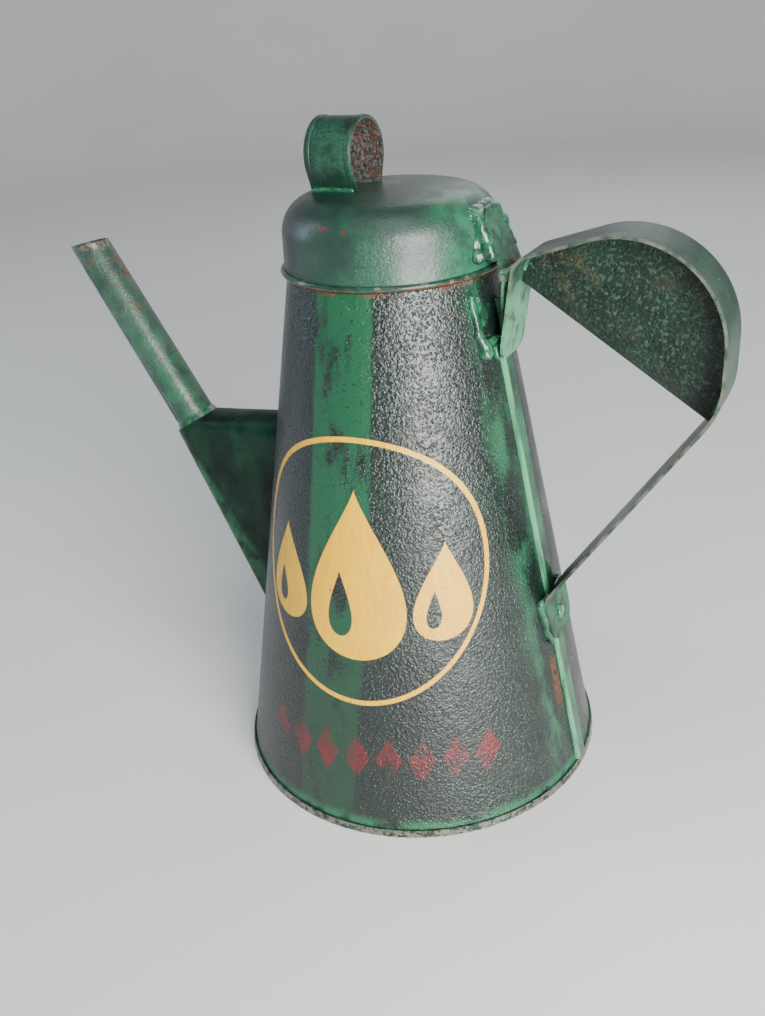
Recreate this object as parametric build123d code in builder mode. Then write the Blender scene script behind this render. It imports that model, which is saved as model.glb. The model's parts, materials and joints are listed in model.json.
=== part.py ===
"""Conical sheet-metal oil can: tapered body, side spout, strap handle and a hinged lid with a finger loop.

Units are millimetres. Z is up, the base stands on Z = 0 and the body's axis is the Z axis.
The handle and the lid hinge are on the +X side, the spout is on the -X side.
"""

from build123d import *
from math import atan2, cos, radians, sin, tan
import os

os.makedirs("parts", exist_ok=True)

# Driving sizes
SHEET = 0.8
BODY_HEIGHT = 213.0
BASE_RADIUS = 78.2
NECK_RADIUS = 39.8
STRAP_WIDTH = 22.0
STRAP_THICKNESS = 1.1

# Base and side seam
RIM_HEIGHT = 3.4
RIM_DEPTH = 1.0
SEAM_WIDTH = 8.0
SEAM_DEPTH = 1.0
SEAM_Y = -1.5
SEAM_TOP = 188.0

# Neck collar that the lid fits over
COLLAR_RADIUS = NECK_RADIUS - SHEET
COLLAR_SHEET = 0.7
COLLAR_BOTTOM = BODY_HEIGHT - 7.0
COLLAR_TOP = BODY_HEIGHT + 7.5

# Lid
LID_RADIUS = 40.6
LID_TAPER = 1.0
LID_SKIRT_BOTTOM = BODY_HEIGHT + 0.6
LID_TOP = 241.5
LID_DOME = 1.6
LID_SHOULDER = 13.0
LID_BEAD_RADIUS = 1.1
LID_BEAD_HEIGHT = LID_SKIRT_BOTTOM + LID_BEAD_RADIUS

# Finger loop on the lid
LOOP_WIDTH = 19.0
LOOP_X = -17.0
LOOP_RADIUS = 13.0
LOOP_FOOT_Y = 8.5
LOOP_THICKNESS = 1.0
LOOP_HEIGHT = 24.5
LOOP_SOLDER = 2.0

# Lid hinge
HINGE_X = 48.4
HINGE_Z = BODY_HEIGHT + 0.8
PIN_RADIUS = 1.0
PIN_LENGTH = 22.0
PIN_CLEARANCE = 0.05
KNUCKLE_RADIUS = 2.0
FLAP_KNUCKLE = 8.6
LEAF_WIDTH = 19.0
KNUCKLE_GAP = 0.3
HINGE_SHEET = 1.0
LEAF_BOTTOM = 189.5
LEAF_POINT_WIDTH = 5.0
FLAP_TOP_X = 39.6
FLAP_TOP_Z = 235.5
FLAP_WIDTH = 18.0
FLAP_ROUNDING = 8.0
LEAF_SOLDER_SHARE = 0.6
FLAP_SOLDER_SHARE = 0.4
SOLDER_DIP = 2.2

# Spout
SPOUT_TILT = 60.0
SPOUT_JOINT_X = -105.5
SPOUT_JOINT_Z = 136.5
SPOUT_LENGTH = 90.0
SPOUT_BASE_RADIUS = 8.8
SPOUT_TIP_RADIUS = 7.9
SPOUT_ENTRY = 5.0
SPOUT_TIP_SLOPE = 10.0
SPOUT_SOLDER_HEIGHT = 2.6
SOCKET_RADIUS = 10.0
SOCKET_FOOT_RADIUS = 6.0
SOCKET_TOP_Z = 147.0
SOCKET_LENGTH = 121.0
SOCKET_ROOT_DEPTH = 3.2
SOCKET_SOLDER = 1.6
POUR_HOLE_RADIUS = 8.0
POUR_HOLE_Z = 116.0

# Handle
TAB_GAP = 0.3
TAB_BOTTOM = 183.0
HANDLE_OUTER_X = 126.0
HANDLE_BENDS = (9.0, 37.0, 30.0, 5.0)
HANDLE_KNEE = (52.0, 220.3)
HANDLE_RISE_DEGREES = 17.0
HANDLE_RUN_DEGREES = 55.6
FOOT_CORNER_Z = 84.5
FOOT_LENGTH = 21.0
RIVET_Z = 74.0
RIVET_RADIUS = 1.5
RIVET_HEAD_RADIUS = 3.0
RIVET_HEAD_HEIGHT = 1.1
RIVET_HEAD_SEAT = 0.7
RIVET_HEAD_ROUNDING = 0.88
FOOT_ROUNDING = 9.0
TAB_ROUNDING = 6.0
TAB_SOLDER_HEIGHT = 5.5
TAB_SOLDER_MARGIN = 0.8
WEB_SHEET = 0.8
WEB_TOP = (57.7, 206.2)
WEB_BOTTOM = (118.2, 166.2)


def wall_radius(height):
    """Outer radius of the body's cone at a height."""
    return BASE_RADIUS + (NECK_RADIUS - BASE_RADIUS) * height / BODY_HEIGHT


def cone_band(bottom, top, inner, outer):
    """Ring between two offsets from the body's cone, from one height to another."""
    with BuildPart() as band:
        with BuildSketch(Plane.XZ):
            with BuildLine():
                Polyline(
                    (wall_radius(bottom) + inner, bottom),
                    (wall_radius(bottom) + outer, bottom),
                    (wall_radius(top) + outer, top),
                    (wall_radius(top) + inner, top),
                    close=True,
                )
            make_face()
        revolve(axis=Axis.Z)
    return band.part


def cone_solid(offset, overrun=0.0):
    """The whole space inside the body's cone, grown outwards by an offset."""
    with BuildPart() as solid:
        with BuildSketch(Plane.XZ):
            with BuildLine():
                Polyline(
                    (0, -overrun),
                    (wall_radius(-overrun) + offset, -overrun),
                    (wall_radius(BODY_HEIGHT) + offset, BODY_HEIGHT),
                    (0, BODY_HEIGHT),
                    close=True,
                )
            make_face()
        revolve(axis=Axis.Z)
    return solid.part


def lid_solid(inset):
    """The lid's domed shape as a solid, drawn in by an inset."""
    radius = LID_RADIUS - inset
    top_radius = radius - LID_TAPER
    top = LID_TOP - inset
    edge_top = top - LID_DOME
    with BuildPart() as solid:
        with BuildSketch(Plane.XZ):
            with BuildLine():
                ThreePointArc((0, top), (top_radius / 2, top - LID_DOME / 4), (top_radius, edge_top))
                Polyline((top_radius, edge_top), (radius, LID_SKIRT_BOTTOM), (0, LID_SKIRT_BOTTOM), (0, top))
            outline = make_face()
            shoulder = outline.vertices().sort_by(Axis.X)[-2:].sort_by(Axis.Y)[-1]
            fillet(shoulder, LID_SHOULDER - inset)
        revolve(axis=Axis.Z)
    return solid.part


def save(builder, name):
    """Labels a finished piece and writes it to its own file."""
    builder.part.label = name
    export_step(builder.part, f"parts/{name}.step")


body_space = cone_solid(0, overrun=BASE_RADIUS)

# Body wall: a cone of sheet with the pour hole into the spout socket
with BuildPart() as body_shell:
    add(cone_band(0, BODY_HEIGHT, -SHEET, 0))
    with BuildSketch(Plane.YZ.offset(-BASE_RADIUS)):
        with Locations((0, POUR_HOLE_Z)):
            Circle(POUR_HOLE_RADIUS)
    extrude(amount=BASE_RADIUS, mode=Mode.SUBTRACT)
    with BuildSketch(Plane.YZ):
        with Locations((0, RIVET_Z)):
            Circle(RIVET_RADIUS)
    extrude(amount=BASE_RADIUS, mode=Mode.SUBTRACT)
save(body_shell, "body_shell")

# Folded seam that closes the body wall, under the handle
with BuildPart() as side_seam:
    add(cone_band(RIM_HEIGHT, SEAM_TOP, 0, SEAM_DEPTH))
    with BuildSketch(Plane.XY):
        with Locations((BASE_RADIUS, SEAM_Y)):
            Rectangle(BASE_RADIUS, SEAM_WIDTH)
    extrude(amount=BODY_HEIGHT, mode=Mode.INTERSECT)
    with BuildSketch(Plane.YZ):
        with Locations((0, RIVET_Z)):
            Circle(RIVET_RADIUS)
    extrude(amount=BASE_RADIUS, mode=Mode.SUBTRACT)
save(side_seam, "side_seam")

# Flat base, soldered flush inside the body wall
with BuildPart() as base_plate:
    with BuildSketch(Plane.XZ):
        with BuildLine():
            Polyline(
                (0, 0),
                (wall_radius(0) - SHEET, 0),
                (wall_radius(SHEET) - SHEET, SHEET),
                (0, SHEET),
                close=True,
            )
        make_face()
    revolve(axis=Axis.Z)
save(base_plate, "base_plate")

# Folded rim round the foot of the body wall
with BuildPart() as base_rim:
    add(cone_band(0, RIM_HEIGHT, 0, RIM_DEPTH))
    outer_edges = base_rim.edges().filter_by(GeomType.CIRCLE).group_by(SortBy.RADIUS)
    fillet([group[0] for group in outer_edges[-1:]], RIM_DEPTH / 2)
save(base_rim, "base_rim")

# Collar inside the neck, which the lid closes over
with BuildPart() as neck_collar:
    with BuildSketch(Plane.XZ):
        with BuildLine():
            Polyline(
                (wall_radius(COLLAR_BOTTOM) - SHEET, COLLAR_BOTTOM),
                (COLLAR_RADIUS, BODY_HEIGHT),
                (COLLAR_RADIUS, COLLAR_TOP),
                (COLLAR_RADIUS - COLLAR_SHEET, COLLAR_TOP),
                (COLLAR_RADIUS - COLLAR_SHEET, BODY_HEIGHT),
                (wall_radius(COLLAR_BOTTOM) - SHEET - COLLAR_SHEET, COLLAR_BOTTOM),
                close=True,
            )
        make_face()
    revolve(axis=Axis.Z)
save(neck_collar, "neck_collar")

# Lid: domed cap with a wired edge
lid_space = lid_solid(0)
lid_hollow = lid_solid(SHEET)

with BuildPart() as lid_shell:
    add(lid_space)
    add(lid_hollow, mode=Mode.SUBTRACT)
save(lid_shell, "lid_shell")

with BuildPart() as lid_bead:
    with BuildSketch(Plane.XZ):
        with Locations((LID_RADIUS + LID_BEAD_RADIUS / 4, LID_BEAD_HEIGHT)):
            Circle(LID_BEAD_RADIUS)
    revolve(axis=Axis.Z)
    add(lid_space, mode=Mode.SUBTRACT)
    add(lid_hollow, mode=Mode.SUBTRACT)
save(lid_bead, "lid_bead")

# Finger loop: a strip rolled to a keyhole shape that stands on the lid, with solder along each foot
loop_centre_z = LID_TOP + LOOP_HEIGHT - LOOP_RADIUS
loop_plane = Plane.YZ.offset(LOOP_X - LOOP_WIDTH / 2)


def loop_solid(inset):
    """The finger loop's outline as a solid bar, drawn in by an inset."""
    with BuildPart() as solid:
        with BuildSketch(loop_plane):
            with Locations((0, loop_centre_z)):
                Circle(LOOP_RADIUS - inset)
            with Locations((0, LID_TOP - LID_DOME)):
                Rectangle(2 * (LOOP_FOOT_Y - inset), 2 * LID_DOME)
            make_hull()
        extrude(amount=LOOP_WIDTH)
    return solid.part


loop_space = loop_solid(0)

with BuildPart() as lid_loop:
    add(loop_space)
    add(loop_solid(LOOP_THICKNESS), mode=Mode.SUBTRACT)
    add(lid_space, mode=Mode.SUBTRACT)
save(lid_loop, "lid_loop")

for side, side_name in ((-1, "near"), (1, "far")):
    with BuildPart() as loop_solder:
        with BuildSketch(loop_plane.offset(LOOP_THICKNESS)):
            with Locations((side * (LOOP_FOOT_Y + LOOP_THICKNESS), LID_TOP - LID_DOME / 4)):
                Circle(LOOP_SOLDER)
        extrude(amount=LOOP_WIDTH - 2 * LOOP_THICKNESS)
        add(loop_space, mode=Mode.SUBTRACT)
        add(lid_space, mode=Mode.SUBTRACT)
    save(loop_solder, f"loop_solder_{side_name}")

# Hinge: a wire pin, a leaf soldered to the neck and a flap soldered to the lid
hinge_plane = Plane.XZ.offset(-PIN_LENGTH / 2)
with BuildPart() as hinge_pin:
    with BuildSketch(hinge_plane):
        with Locations((HINGE_X, HINGE_Z)):
            Circle(PIN_RADIUS)
    extrude(amount=PIN_LENGTH)
save(hinge_pin, "hinge_pin")

leaf_foot_x = wall_radius(LEAF_BOTTOM)
with BuildPart() as hinge_leaf:
    with BuildSketch(Plane.XZ):
        with BuildLine():
            Polyline(
                (leaf_foot_x, LEAF_BOTTOM),
                (leaf_foot_x + HINGE_SHEET, LEAF_BOTTOM),
                (HINGE_X + HINGE_SHEET / 2, HINGE_Z - PIN_RADIUS),
                (HINGE_X - HINGE_SHEET / 2, HINGE_Z - PIN_RADIUS),
                close=True,
            )
        make_face()
    extrude(amount=LEAF_WIDTH / 2, both=True)
    with BuildSketch(Plane.XZ):
        with Locations((HINGE_X, HINGE_Z)):
            Circle(KNUCKLE_RADIUS)
    extrude(amount=LEAF_WIDTH / 2, both=True)
    with BuildSketch(Plane.YZ):
        with BuildLine():
            Polyline(
                (-LEAF_POINT_WIDTH / 2, 0),
                (-LEAF_POINT_WIDTH / 2, LEAF_BOTTOM),
                (-LEAF_WIDTH / 2, HINGE_Z - 2 * KNUCKLE_RADIUS),
                (-LEAF_WIDTH / 2, LID_TOP),
                (LEAF_WIDTH / 2, LID_TOP),
                (LEAF_WIDTH / 2, HINGE_Z - 2 * KNUCKLE_RADIUS),
                (LEAF_POINT_WIDTH / 2, LEAF_BOTTOM),
                (LEAF_POINT_WIDTH / 2, 0),
                close=True,
            )
        make_face()
    extrude(amount=BASE_RADIUS, mode=Mode.INTERSECT)
    with BuildSketch(Plane.XZ):
        with Locations((HINGE_X, HINGE_Z)):
            Circle(KNUCKLE_RADIUS + KNUCKLE_GAP)
    extrude(amount=FLAP_KNUCKLE / 2 + KNUCKLE_GAP, both=True, mode=Mode.SUBTRACT)
    add(hinge_pin.part, mode=Mode.SUBTRACT)
    add(body_space, mode=Mode.SUBTRACT)
save(hinge_leaf, "hinge_leaf")

with BuildPart() as leaf_solder:
    with BuildSketch(Plane.XZ):
        with BuildLine():
            solder_top = LEAF_BOTTOM + (HINGE_Z - LEAF_BOTTOM) * LEAF_SOLDER_SHARE
            solder_top_x = leaf_foot_x + (HINGE_X - leaf_foot_x) * LEAF_SOLDER_SHARE
            Polyline(
                (leaf_foot_x - SHEET, LEAF_BOTTOM),
                (leaf_foot_x + HINGE_SHEET / 2, LEAF_BOTTOM),
                (solder_top_x, solder_top),
                (wall_radius(solder_top) - SHEET, solder_top),
                close=True,
            )
        make_face()
    extrude(amount=LEAF_POINT_WIDTH / 2, both=True)
    add(hinge_leaf.part, mode=Mode.SUBTRACT)
    add(body_space, mode=Mode.SUBTRACT)
save(leaf_solder, "leaf_solder")

with BuildPart() as hinge_flap:
    with BuildSketch(Plane.XZ):
        with BuildLine():
            Line((HINGE_X, HINGE_Z), (FLAP_TOP_X, FLAP_TOP_Z))
            offset(amount=HINGE_SHEET / 2, side=Side.BOTH)
        make_face()
    extrude(amount=FLAP_WIDTH / 2, both=True)
    with BuildSketch(Plane.XZ):
        with Locations((HINGE_X, HINGE_Z)):
            Circle(KNUCKLE_RADIUS + KNUCKLE_GAP)
    extrude(amount=FLAP_WIDTH / 2, both=True, mode=Mode.SUBTRACT)
    with BuildSketch(Plane.XZ):
        with Locations((HINGE_X, HINGE_Z)):
            Circle(KNUCKLE_RADIUS)
        with BuildLine():
            Line((HINGE_X, HINGE_Z), ((HINGE_X + FLAP_TOP_X) / 2, (HINGE_Z + FLAP_TOP_Z) / 2))
            offset(amount=HINGE_SHEET / 2, side=Side.BOTH)
        make_face()
    extrude(amount=FLAP_KNUCKLE / 2, both=True)
    with BuildSketch(Plane.XZ):
        with Locations((HINGE_X, HINGE_Z)):
            Circle(PIN_RADIUS + PIN_CLEARANCE)
    extrude(amount=FLAP_WIDTH, both=True, mode=Mode.SUBTRACT)
    with BuildSketch(Plane.YZ):
        with Locations((0, HINGE_Z)):
            RectangleRounded(FLAP_WIDTH, 2 * (FLAP_TOP_Z - HINGE_Z) + HINGE_SHEET, FLAP_ROUNDING)
    extrude(amount=BASE_RADIUS, mode=Mode.INTERSECT)
    add(lid_space, mode=Mode.SUBTRACT)
save(hinge_flap, "hinge_flap")

flap_solder_foot = HINGE_Z + (FLAP_TOP_Z - HINGE_Z) * FLAP_SOLDER_SHARE
with BuildPart() as flap_solder:
    with BuildSketch(Plane.XZ):
        with BuildLine():
            Polyline(
                (FLAP_TOP_X, FLAP_TOP_Z),
                (HINGE_X - (HINGE_X - FLAP_TOP_X) * FLAP_SOLDER_SHARE, flap_solder_foot),
                (LID_RADIUS - SHEET, flap_solder_foot - SOLDER_DIP),
                (LID_RADIUS - LID_SHOULDER / 2, FLAP_TOP_Z),
                close=True,
            )
        make_face()
    extrude(amount=FLAP_WIDTH / 2 - HINGE_SHEET, both=True)
    add(hinge_flap.part, mode=Mode.SUBTRACT)
    add(lid_space, mode=Mode.SUBTRACT)
save(flap_solder, "flap_solder")

# Spout: a folded socket on the body and a tapered tube
spout_direction = (-cos(radians(SPOUT_TILT)), 0, sin(radians(SPOUT_TILT)))
spout_plane = Plane(
    origin=(SPOUT_JOINT_X, 0, SPOUT_JOINT_Z), x_dir=(0, 1, 0), z_dir=spout_direction
)
wall_lean = atan2(BASE_RADIUS - NECK_RADIUS, BODY_HEIGHT)
socket_wall_plane = Plane(
    origin=(SOCKET_ROOT_DEPTH - wall_radius(SOCKET_TOP_Z), 0, SOCKET_TOP_Z),
    x_dir=(0, 1, 0),
    z_dir=(-cos(wall_lean), 0, sin(wall_lean)),
)
tip_plane = Plane(
    origin=(
        SPOUT_JOINT_X + SPOUT_LENGTH * spout_direction[0],
        0,
        SPOUT_JOINT_Z + SPOUT_LENGTH * spout_direction[2],
    ),
    x_dir=(0, 1, 0),
    z_dir=(-sin(radians(SPOUT_TIP_SLOPE)), 0, cos(radians(SPOUT_TIP_SLOPE))),
)


def tapered_rod(inset):
    """The spout's tapered round shape, running past both of its ends."""
    with BuildPart() as rod:
        with BuildSketch(spout_plane.offset(-SPOUT_ENTRY)):
            Circle(SPOUT_BASE_RADIUS - inset)
        with BuildSketch(spout_plane.offset(SPOUT_LENGTH + 2 * SPOUT_TIP_RADIUS)):
            Circle(SPOUT_TIP_RADIUS - inset)
        loft()
    return rod.part


def socket_solid(inset):
    """The spout socket: a round end at the spout that widens to a tall oval on the body wall."""
    with BuildPart() as solid:
        with BuildSketch(spout_plane.offset(-max(inset, 0))):
            Circle(SOCKET_RADIUS - inset)
            with Locations((0, SHEET)):
                Circle(SOCKET_RADIUS - inset)
            make_hull()
        with BuildSketch(socket_wall_plane):
            with Locations((0, SOCKET_RADIUS)):
                Circle(SOCKET_RADIUS - inset)
            with Locations((0, SOCKET_LENGTH - SOCKET_FOOT_RADIUS)):
                Circle(SOCKET_FOOT_RADIUS - inset)
            make_hull()
        loft(ruled=True)
    return solid.part


with BuildPart() as spout_tube:
    add(tapered_rod(0))
    add(tapered_rod(SHEET), mode=Mode.SUBTRACT)
    split(bisect_by=tip_plane, keep=Keep.BOTTOM)
save(spout_tube, "spout_tube")

socket_space = socket_solid(0)
tube_space = tapered_rod(0)

with BuildPart() as spout_socket:
    add(socket_space)
    add(socket_solid(SHEET), mode=Mode.SUBTRACT)
    add(body_space, mode=Mode.SUBTRACT)
    add(tube_space, mode=Mode.SUBTRACT)
save(spout_socket, "spout_socket")

with BuildPart() as socket_solder:
    add(socket_solid(-SOCKET_SOLDER))
    add(cone_solid(SOCKET_SOLDER), mode=Mode.INTERSECT)
    add(socket_space, mode=Mode.SUBTRACT)
    add(body_space, mode=Mode.SUBTRACT)
save(socket_solder, "socket_solder")

with BuildPart() as spout_solder:
    with BuildSketch(spout_plane):
        Circle(SOCKET_RADIUS)
    with BuildSketch(spout_plane.offset(SPOUT_SOLDER_HEIGHT)):
        Circle(SPOUT_BASE_RADIUS + SHEET / 4)
    loft()
    add(tube_space, mode=Mode.SUBTRACT)
save(spout_solder, "spout_solder")

# Handle: one strap bent to a loop, its two tabs soldered to the body and the lower one riveted too
run = radians(HANDLE_RUN_DEGREES)
tab_offset = SEAM_DEPTH + TAB_GAP
crown_z = HANDLE_KNEE[1] + (HANDLE_OUTER_X - HANDLE_KNEE[0]) * tan(radians(HANDLE_RISE_DEGREES))
foot_x = wall_radius(FOOT_CORNER_Z) + tab_offset + STRAP_THICKNESS
heel_z = FOOT_CORNER_Z + (HANDLE_OUTER_X - foot_x) * tan(run)
foot_end = (foot_x + FOOT_LENGTH * sin(wall_lean), FOOT_CORNER_Z - FOOT_LENGTH * cos(wall_lean))
handle_path = [
    (wall_radius(TAB_BOTTOM) + tab_offset, TAB_BOTTOM),
    HANDLE_KNEE,
    (HANDLE_OUTER_X, crown_z),
    (HANDLE_OUTER_X, heel_z),
    (foot_x, FOOT_CORNER_Z),
    foot_end,
]

with BuildPart() as handle_strap:
    with BuildSketch(Plane.XZ):
        with BuildLine():
            FilletPolyline(*handle_path, radius=HANDLE_BENDS)
            offset(amount=STRAP_THICKNESS, side=Side.RIGHT)
        make_face()
    extrude(amount=STRAP_WIDTH / 2, both=True)
    end_edges = handle_strap.edges().filter_by(lambda e: abs(e.length - STRAP_THICKNESS) < 0.05)
    foot_corners = end_edges.sort_by(Axis.Z)[:2]
    tab_corners = end_edges.sort_by(Axis.Z)[-2:]
    fillet(foot_corners, FOOT_ROUNDING)
    fillet(tab_corners, TAB_ROUNDING)
    with BuildSketch(Plane.YZ):
        with Locations((0, RIVET_Z)):
            Circle(RIVET_RADIUS)
    extrude(amount=HANDLE_OUTER_X, mode=Mode.SUBTRACT)
save(handle_strap, "handle_strap")

# Half-moon web that closes the upper part of the handle's loop
web_direction = Vector(WEB_BOTTOM[0] - WEB_TOP[0], 0, WEB_BOTTOM[1] - WEB_TOP[1])
web_chord = Plane(
    origin=(WEB_TOP[0], 0, WEB_TOP[1]), x_dir=(0, 1, 0), z_dir=web_direction.cross(Vector(0, 1, 0))
)
with BuildPart() as handle_web:
    with BuildSketch(Plane.XZ):
        with BuildLine():
            FilletPolyline(*handle_path[:-1], radius=HANDLE_BENDS[:-1])
            Line(handle_path[-2], handle_path[0])
        make_face()
    extrude(amount=WEB_SHEET / 2, both=True)
    split(bisect_by=web_chord, keep=Keep.TOP)
    add(handle_strap.part, mode=Mode.SUBTRACT)
save(handle_web, "handle_web")

# Solder that fills the space between each tab and the body wall
for tab_name, low, high in (
    ("top", TAB_BOTTOM, TAB_BOTTOM + TAB_SOLDER_HEIGHT),
    ("foot", foot_end[1], FOOT_CORNER_Z),
):
    with BuildPart() as tab_solder:
        with BuildSketch(Plane.XZ):
            with BuildLine():
                Polyline(
                    (wall_radius(low) - SEAM_DEPTH, low),
                    (wall_radius(low) + tab_offset, low),
                    (wall_radius(high) + tab_offset, high),
                    (wall_radius(high) - SEAM_DEPTH, high),
                    close=True,
                )
            make_face()
        extrude(amount=STRAP_WIDTH / 2 - TAB_SOLDER_MARGIN, both=True)
        add(handle_strap.part, mode=Mode.SUBTRACT)
        add(side_seam.part, mode=Mode.SUBTRACT)
        add(body_space, mode=Mode.SUBTRACT)
        with BuildSketch(Plane.YZ):
            with Locations((0, RIVET_Z)):
                Circle(RIVET_RADIUS)
        extrude(amount=HANDLE_OUTER_X, mode=Mode.SUBTRACT)
    save(tab_solder, f"{tab_name}_tab_solder")

# Rivet through the foot tab, the solder and the body wall
rivet_inner_x = wall_radius(RIVET_Z) - SHEET - RIVET_HEAD_HEIGHT
rivet_outer_x = wall_radius(RIVET_Z) + tab_offset + STRAP_THICKNESS + RIVET_HEAD_HEIGHT
with BuildPart() as foot_rivet:
    with BuildSketch(Plane.YZ.offset(rivet_inner_x)):
        with Locations((0, RIVET_Z)):
            Circle(RIVET_RADIUS)
    extrude(amount=rivet_outer_x - rivet_inner_x)
    for head_x, inwards in ((rivet_inner_x, 1), (rivet_outer_x, -1)):
        with BuildSketch(Plane.YZ.offset(head_x)):
            with Locations((0, RIVET_Z)):
                Circle(RIVET_HEAD_RADIUS)
        extrude(amount=inwards * (RIVET_HEAD_HEIGHT + RIVET_HEAD_SEAT))
    face_edges = foot_rivet.edges().filter_by(GeomType.CIRCLE).sort_by(Axis.X)
    fillet([face_edges[0], face_edges[-1]], RIVET_HEAD_ROUNDING)
    for piece in (body_shell, handle_strap, side_seam, tab_solder):
        add(piece.part, mode=Mode.SUBTRACT)
save(foot_rivet, "foot_rivet")
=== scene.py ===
"""Finishes and hand-made details for a conical sheet-metal oil can, laid out as a Blender add-on.

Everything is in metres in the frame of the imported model: the base stands on Z = 0, the body's axis is
the Z axis, the handle and the lid hinge are on +X and the spout is on -X.
"""

import json
from math import acos, atan2, cos, hypot, pi, radians, sin, tan

import bmesh
import bpy
from bpy.props import FloatProperty, FloatVectorProperty, IntProperty, PointerProperty
from mathutils import Matrix, Vector, noise


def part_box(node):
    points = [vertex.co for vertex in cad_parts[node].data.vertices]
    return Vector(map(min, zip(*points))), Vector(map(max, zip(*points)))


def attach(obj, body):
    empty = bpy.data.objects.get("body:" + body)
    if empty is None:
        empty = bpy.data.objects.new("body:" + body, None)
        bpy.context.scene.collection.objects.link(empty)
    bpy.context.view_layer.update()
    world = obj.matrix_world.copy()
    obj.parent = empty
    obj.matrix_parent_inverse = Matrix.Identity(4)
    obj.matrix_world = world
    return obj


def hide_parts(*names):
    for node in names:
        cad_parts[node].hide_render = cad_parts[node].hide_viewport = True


bl_info = {
    "name": "Oil can",
    "version": (1, 0, 0),
    "blender": (4, 5, 0),
    "location": "3D View > Sidebar > Oil can",
    "description": "Aged paint, solder and small details for a conical oil can",
    "category": "Object",
}

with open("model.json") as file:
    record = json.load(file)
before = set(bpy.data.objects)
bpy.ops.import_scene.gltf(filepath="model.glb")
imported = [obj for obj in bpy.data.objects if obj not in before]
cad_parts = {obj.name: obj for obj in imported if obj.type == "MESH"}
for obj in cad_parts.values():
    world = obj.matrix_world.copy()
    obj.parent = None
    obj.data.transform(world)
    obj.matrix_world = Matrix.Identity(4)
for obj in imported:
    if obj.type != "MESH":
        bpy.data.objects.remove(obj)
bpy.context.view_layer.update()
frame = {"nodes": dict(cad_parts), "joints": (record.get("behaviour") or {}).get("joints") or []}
NODES = frame["nodes"]
BODY_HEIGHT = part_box("body_shell")[1].z
BASE_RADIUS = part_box("body_shell")[1].x
NECK_EDGE = [v.co for v in NODES["body_shell"].data.vertices if v.co.z > BODY_HEIGHT - 1e-5]
NECK_RADIUS = max(hypot(point.x, point.y) for point in NECK_EDGE)
LID_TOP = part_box("lid_shell")[1].z
LID_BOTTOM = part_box("lid_shell")[0].z
LID_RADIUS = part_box("lid_shell")[1].x
HINGE = Vector(frame["joints"][0]["pos_m"])
MM = 0.001
SPOUT_TILT = radians(60)
SOCKET_TILT = radians(61)


# Settings that a user would change


def colour_setting(name, description, default):
    """A colour property with its name, what it paints and its default."""
    return FloatVectorProperty(
        name=name, description=description, default=default, subtype="COLOR", size=3, min=0.0, max=1.0
    )


def length_setting(name, description, default):
    """A length property in metres."""
    return FloatProperty(name=name, description=description, default=default, min=0.0, unit="LENGTH")


def angle_setting(name, description, degrees):
    """An angle property, given here in degrees."""
    return FloatProperty(name=name, description=description, default=radians(degrees), subtype="ANGLE")


class PaintSettings(bpy.types.PropertyGroup):
    """Colours and grain of the painted sheet."""

    body_dark: colour_setting("Body dark", "Deep tone of the body's varnish", (0.0025, 0.0080, 0.0060))
    body_light: colour_setting("Body light", "Lifted tone of the body's varnish", (0.0100, 0.0240, 0.0180))
    # Blue-black is painted shade with a blue cast of reflection, for the sides that face away from the key
    # light.
    shade_navy: colour_setting("Blue-black", "Tone of the body on the spout's side", (0.0025, 0.0080, 0.0125))
    stripe: colour_setting("Stripe green", "Brighter stripe down the front", (0.0045, 0.0720, 0.0300))
    thin_green: colour_setting("Thin green", "Green where the top coat is thin", (0.0220, 0.1500, 0.0680))
    # Mint is a painted highlight on raised edges, folds and upward faces. It is also used as rubbed paint on
    # the strap's top tab and the rivet.
    mint: colour_setting("Mint", "Rubbed highlights on raised edges", (0.0950, 0.3400, 0.1800))
    lid_dark: colour_setting("Lid dark", "Deep tone of the lid", (0.0060, 0.0290, 0.0190))
    lid_light: colour_setting("Lid light", "Lifted tone of the lid", (0.0230, 0.0850, 0.0530))
    strap_dark: colour_setting("Strap dark", "Deep tone of the handle strap", (0.0090, 0.0280, 0.0190))
    strap_light: colour_setting("Strap light", "Lifted tone of the handle strap", (0.0300, 0.0640, 0.0460))
    spout_dark: colour_setting("Spout dark", "Deep tone of the spout", (0.0130, 0.0400, 0.0270))
    spout_light: colour_setting("Spout light", "Lifted tone of the spout", (0.0480, 0.0980, 0.0700))
    rust: colour_setting("Rust", "Orange-brown rust", (0.1100, 0.0380, 0.0150))
    bare_metal: colour_setting("Bare metal", "Worn sheet and wire", (0.240, 0.225, 0.195))
    pebble_size: length_setting("Pebble size", "Width of one pebble in the varnish", 1.05 * MM)
    pebble_depth: length_setting("Pebble depth", "Depth of the varnish pebbles", 0.42 * MM)
    patch_size: length_setting("Patch size", "Width of the lighter and darker patches", 22 * MM)


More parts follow.
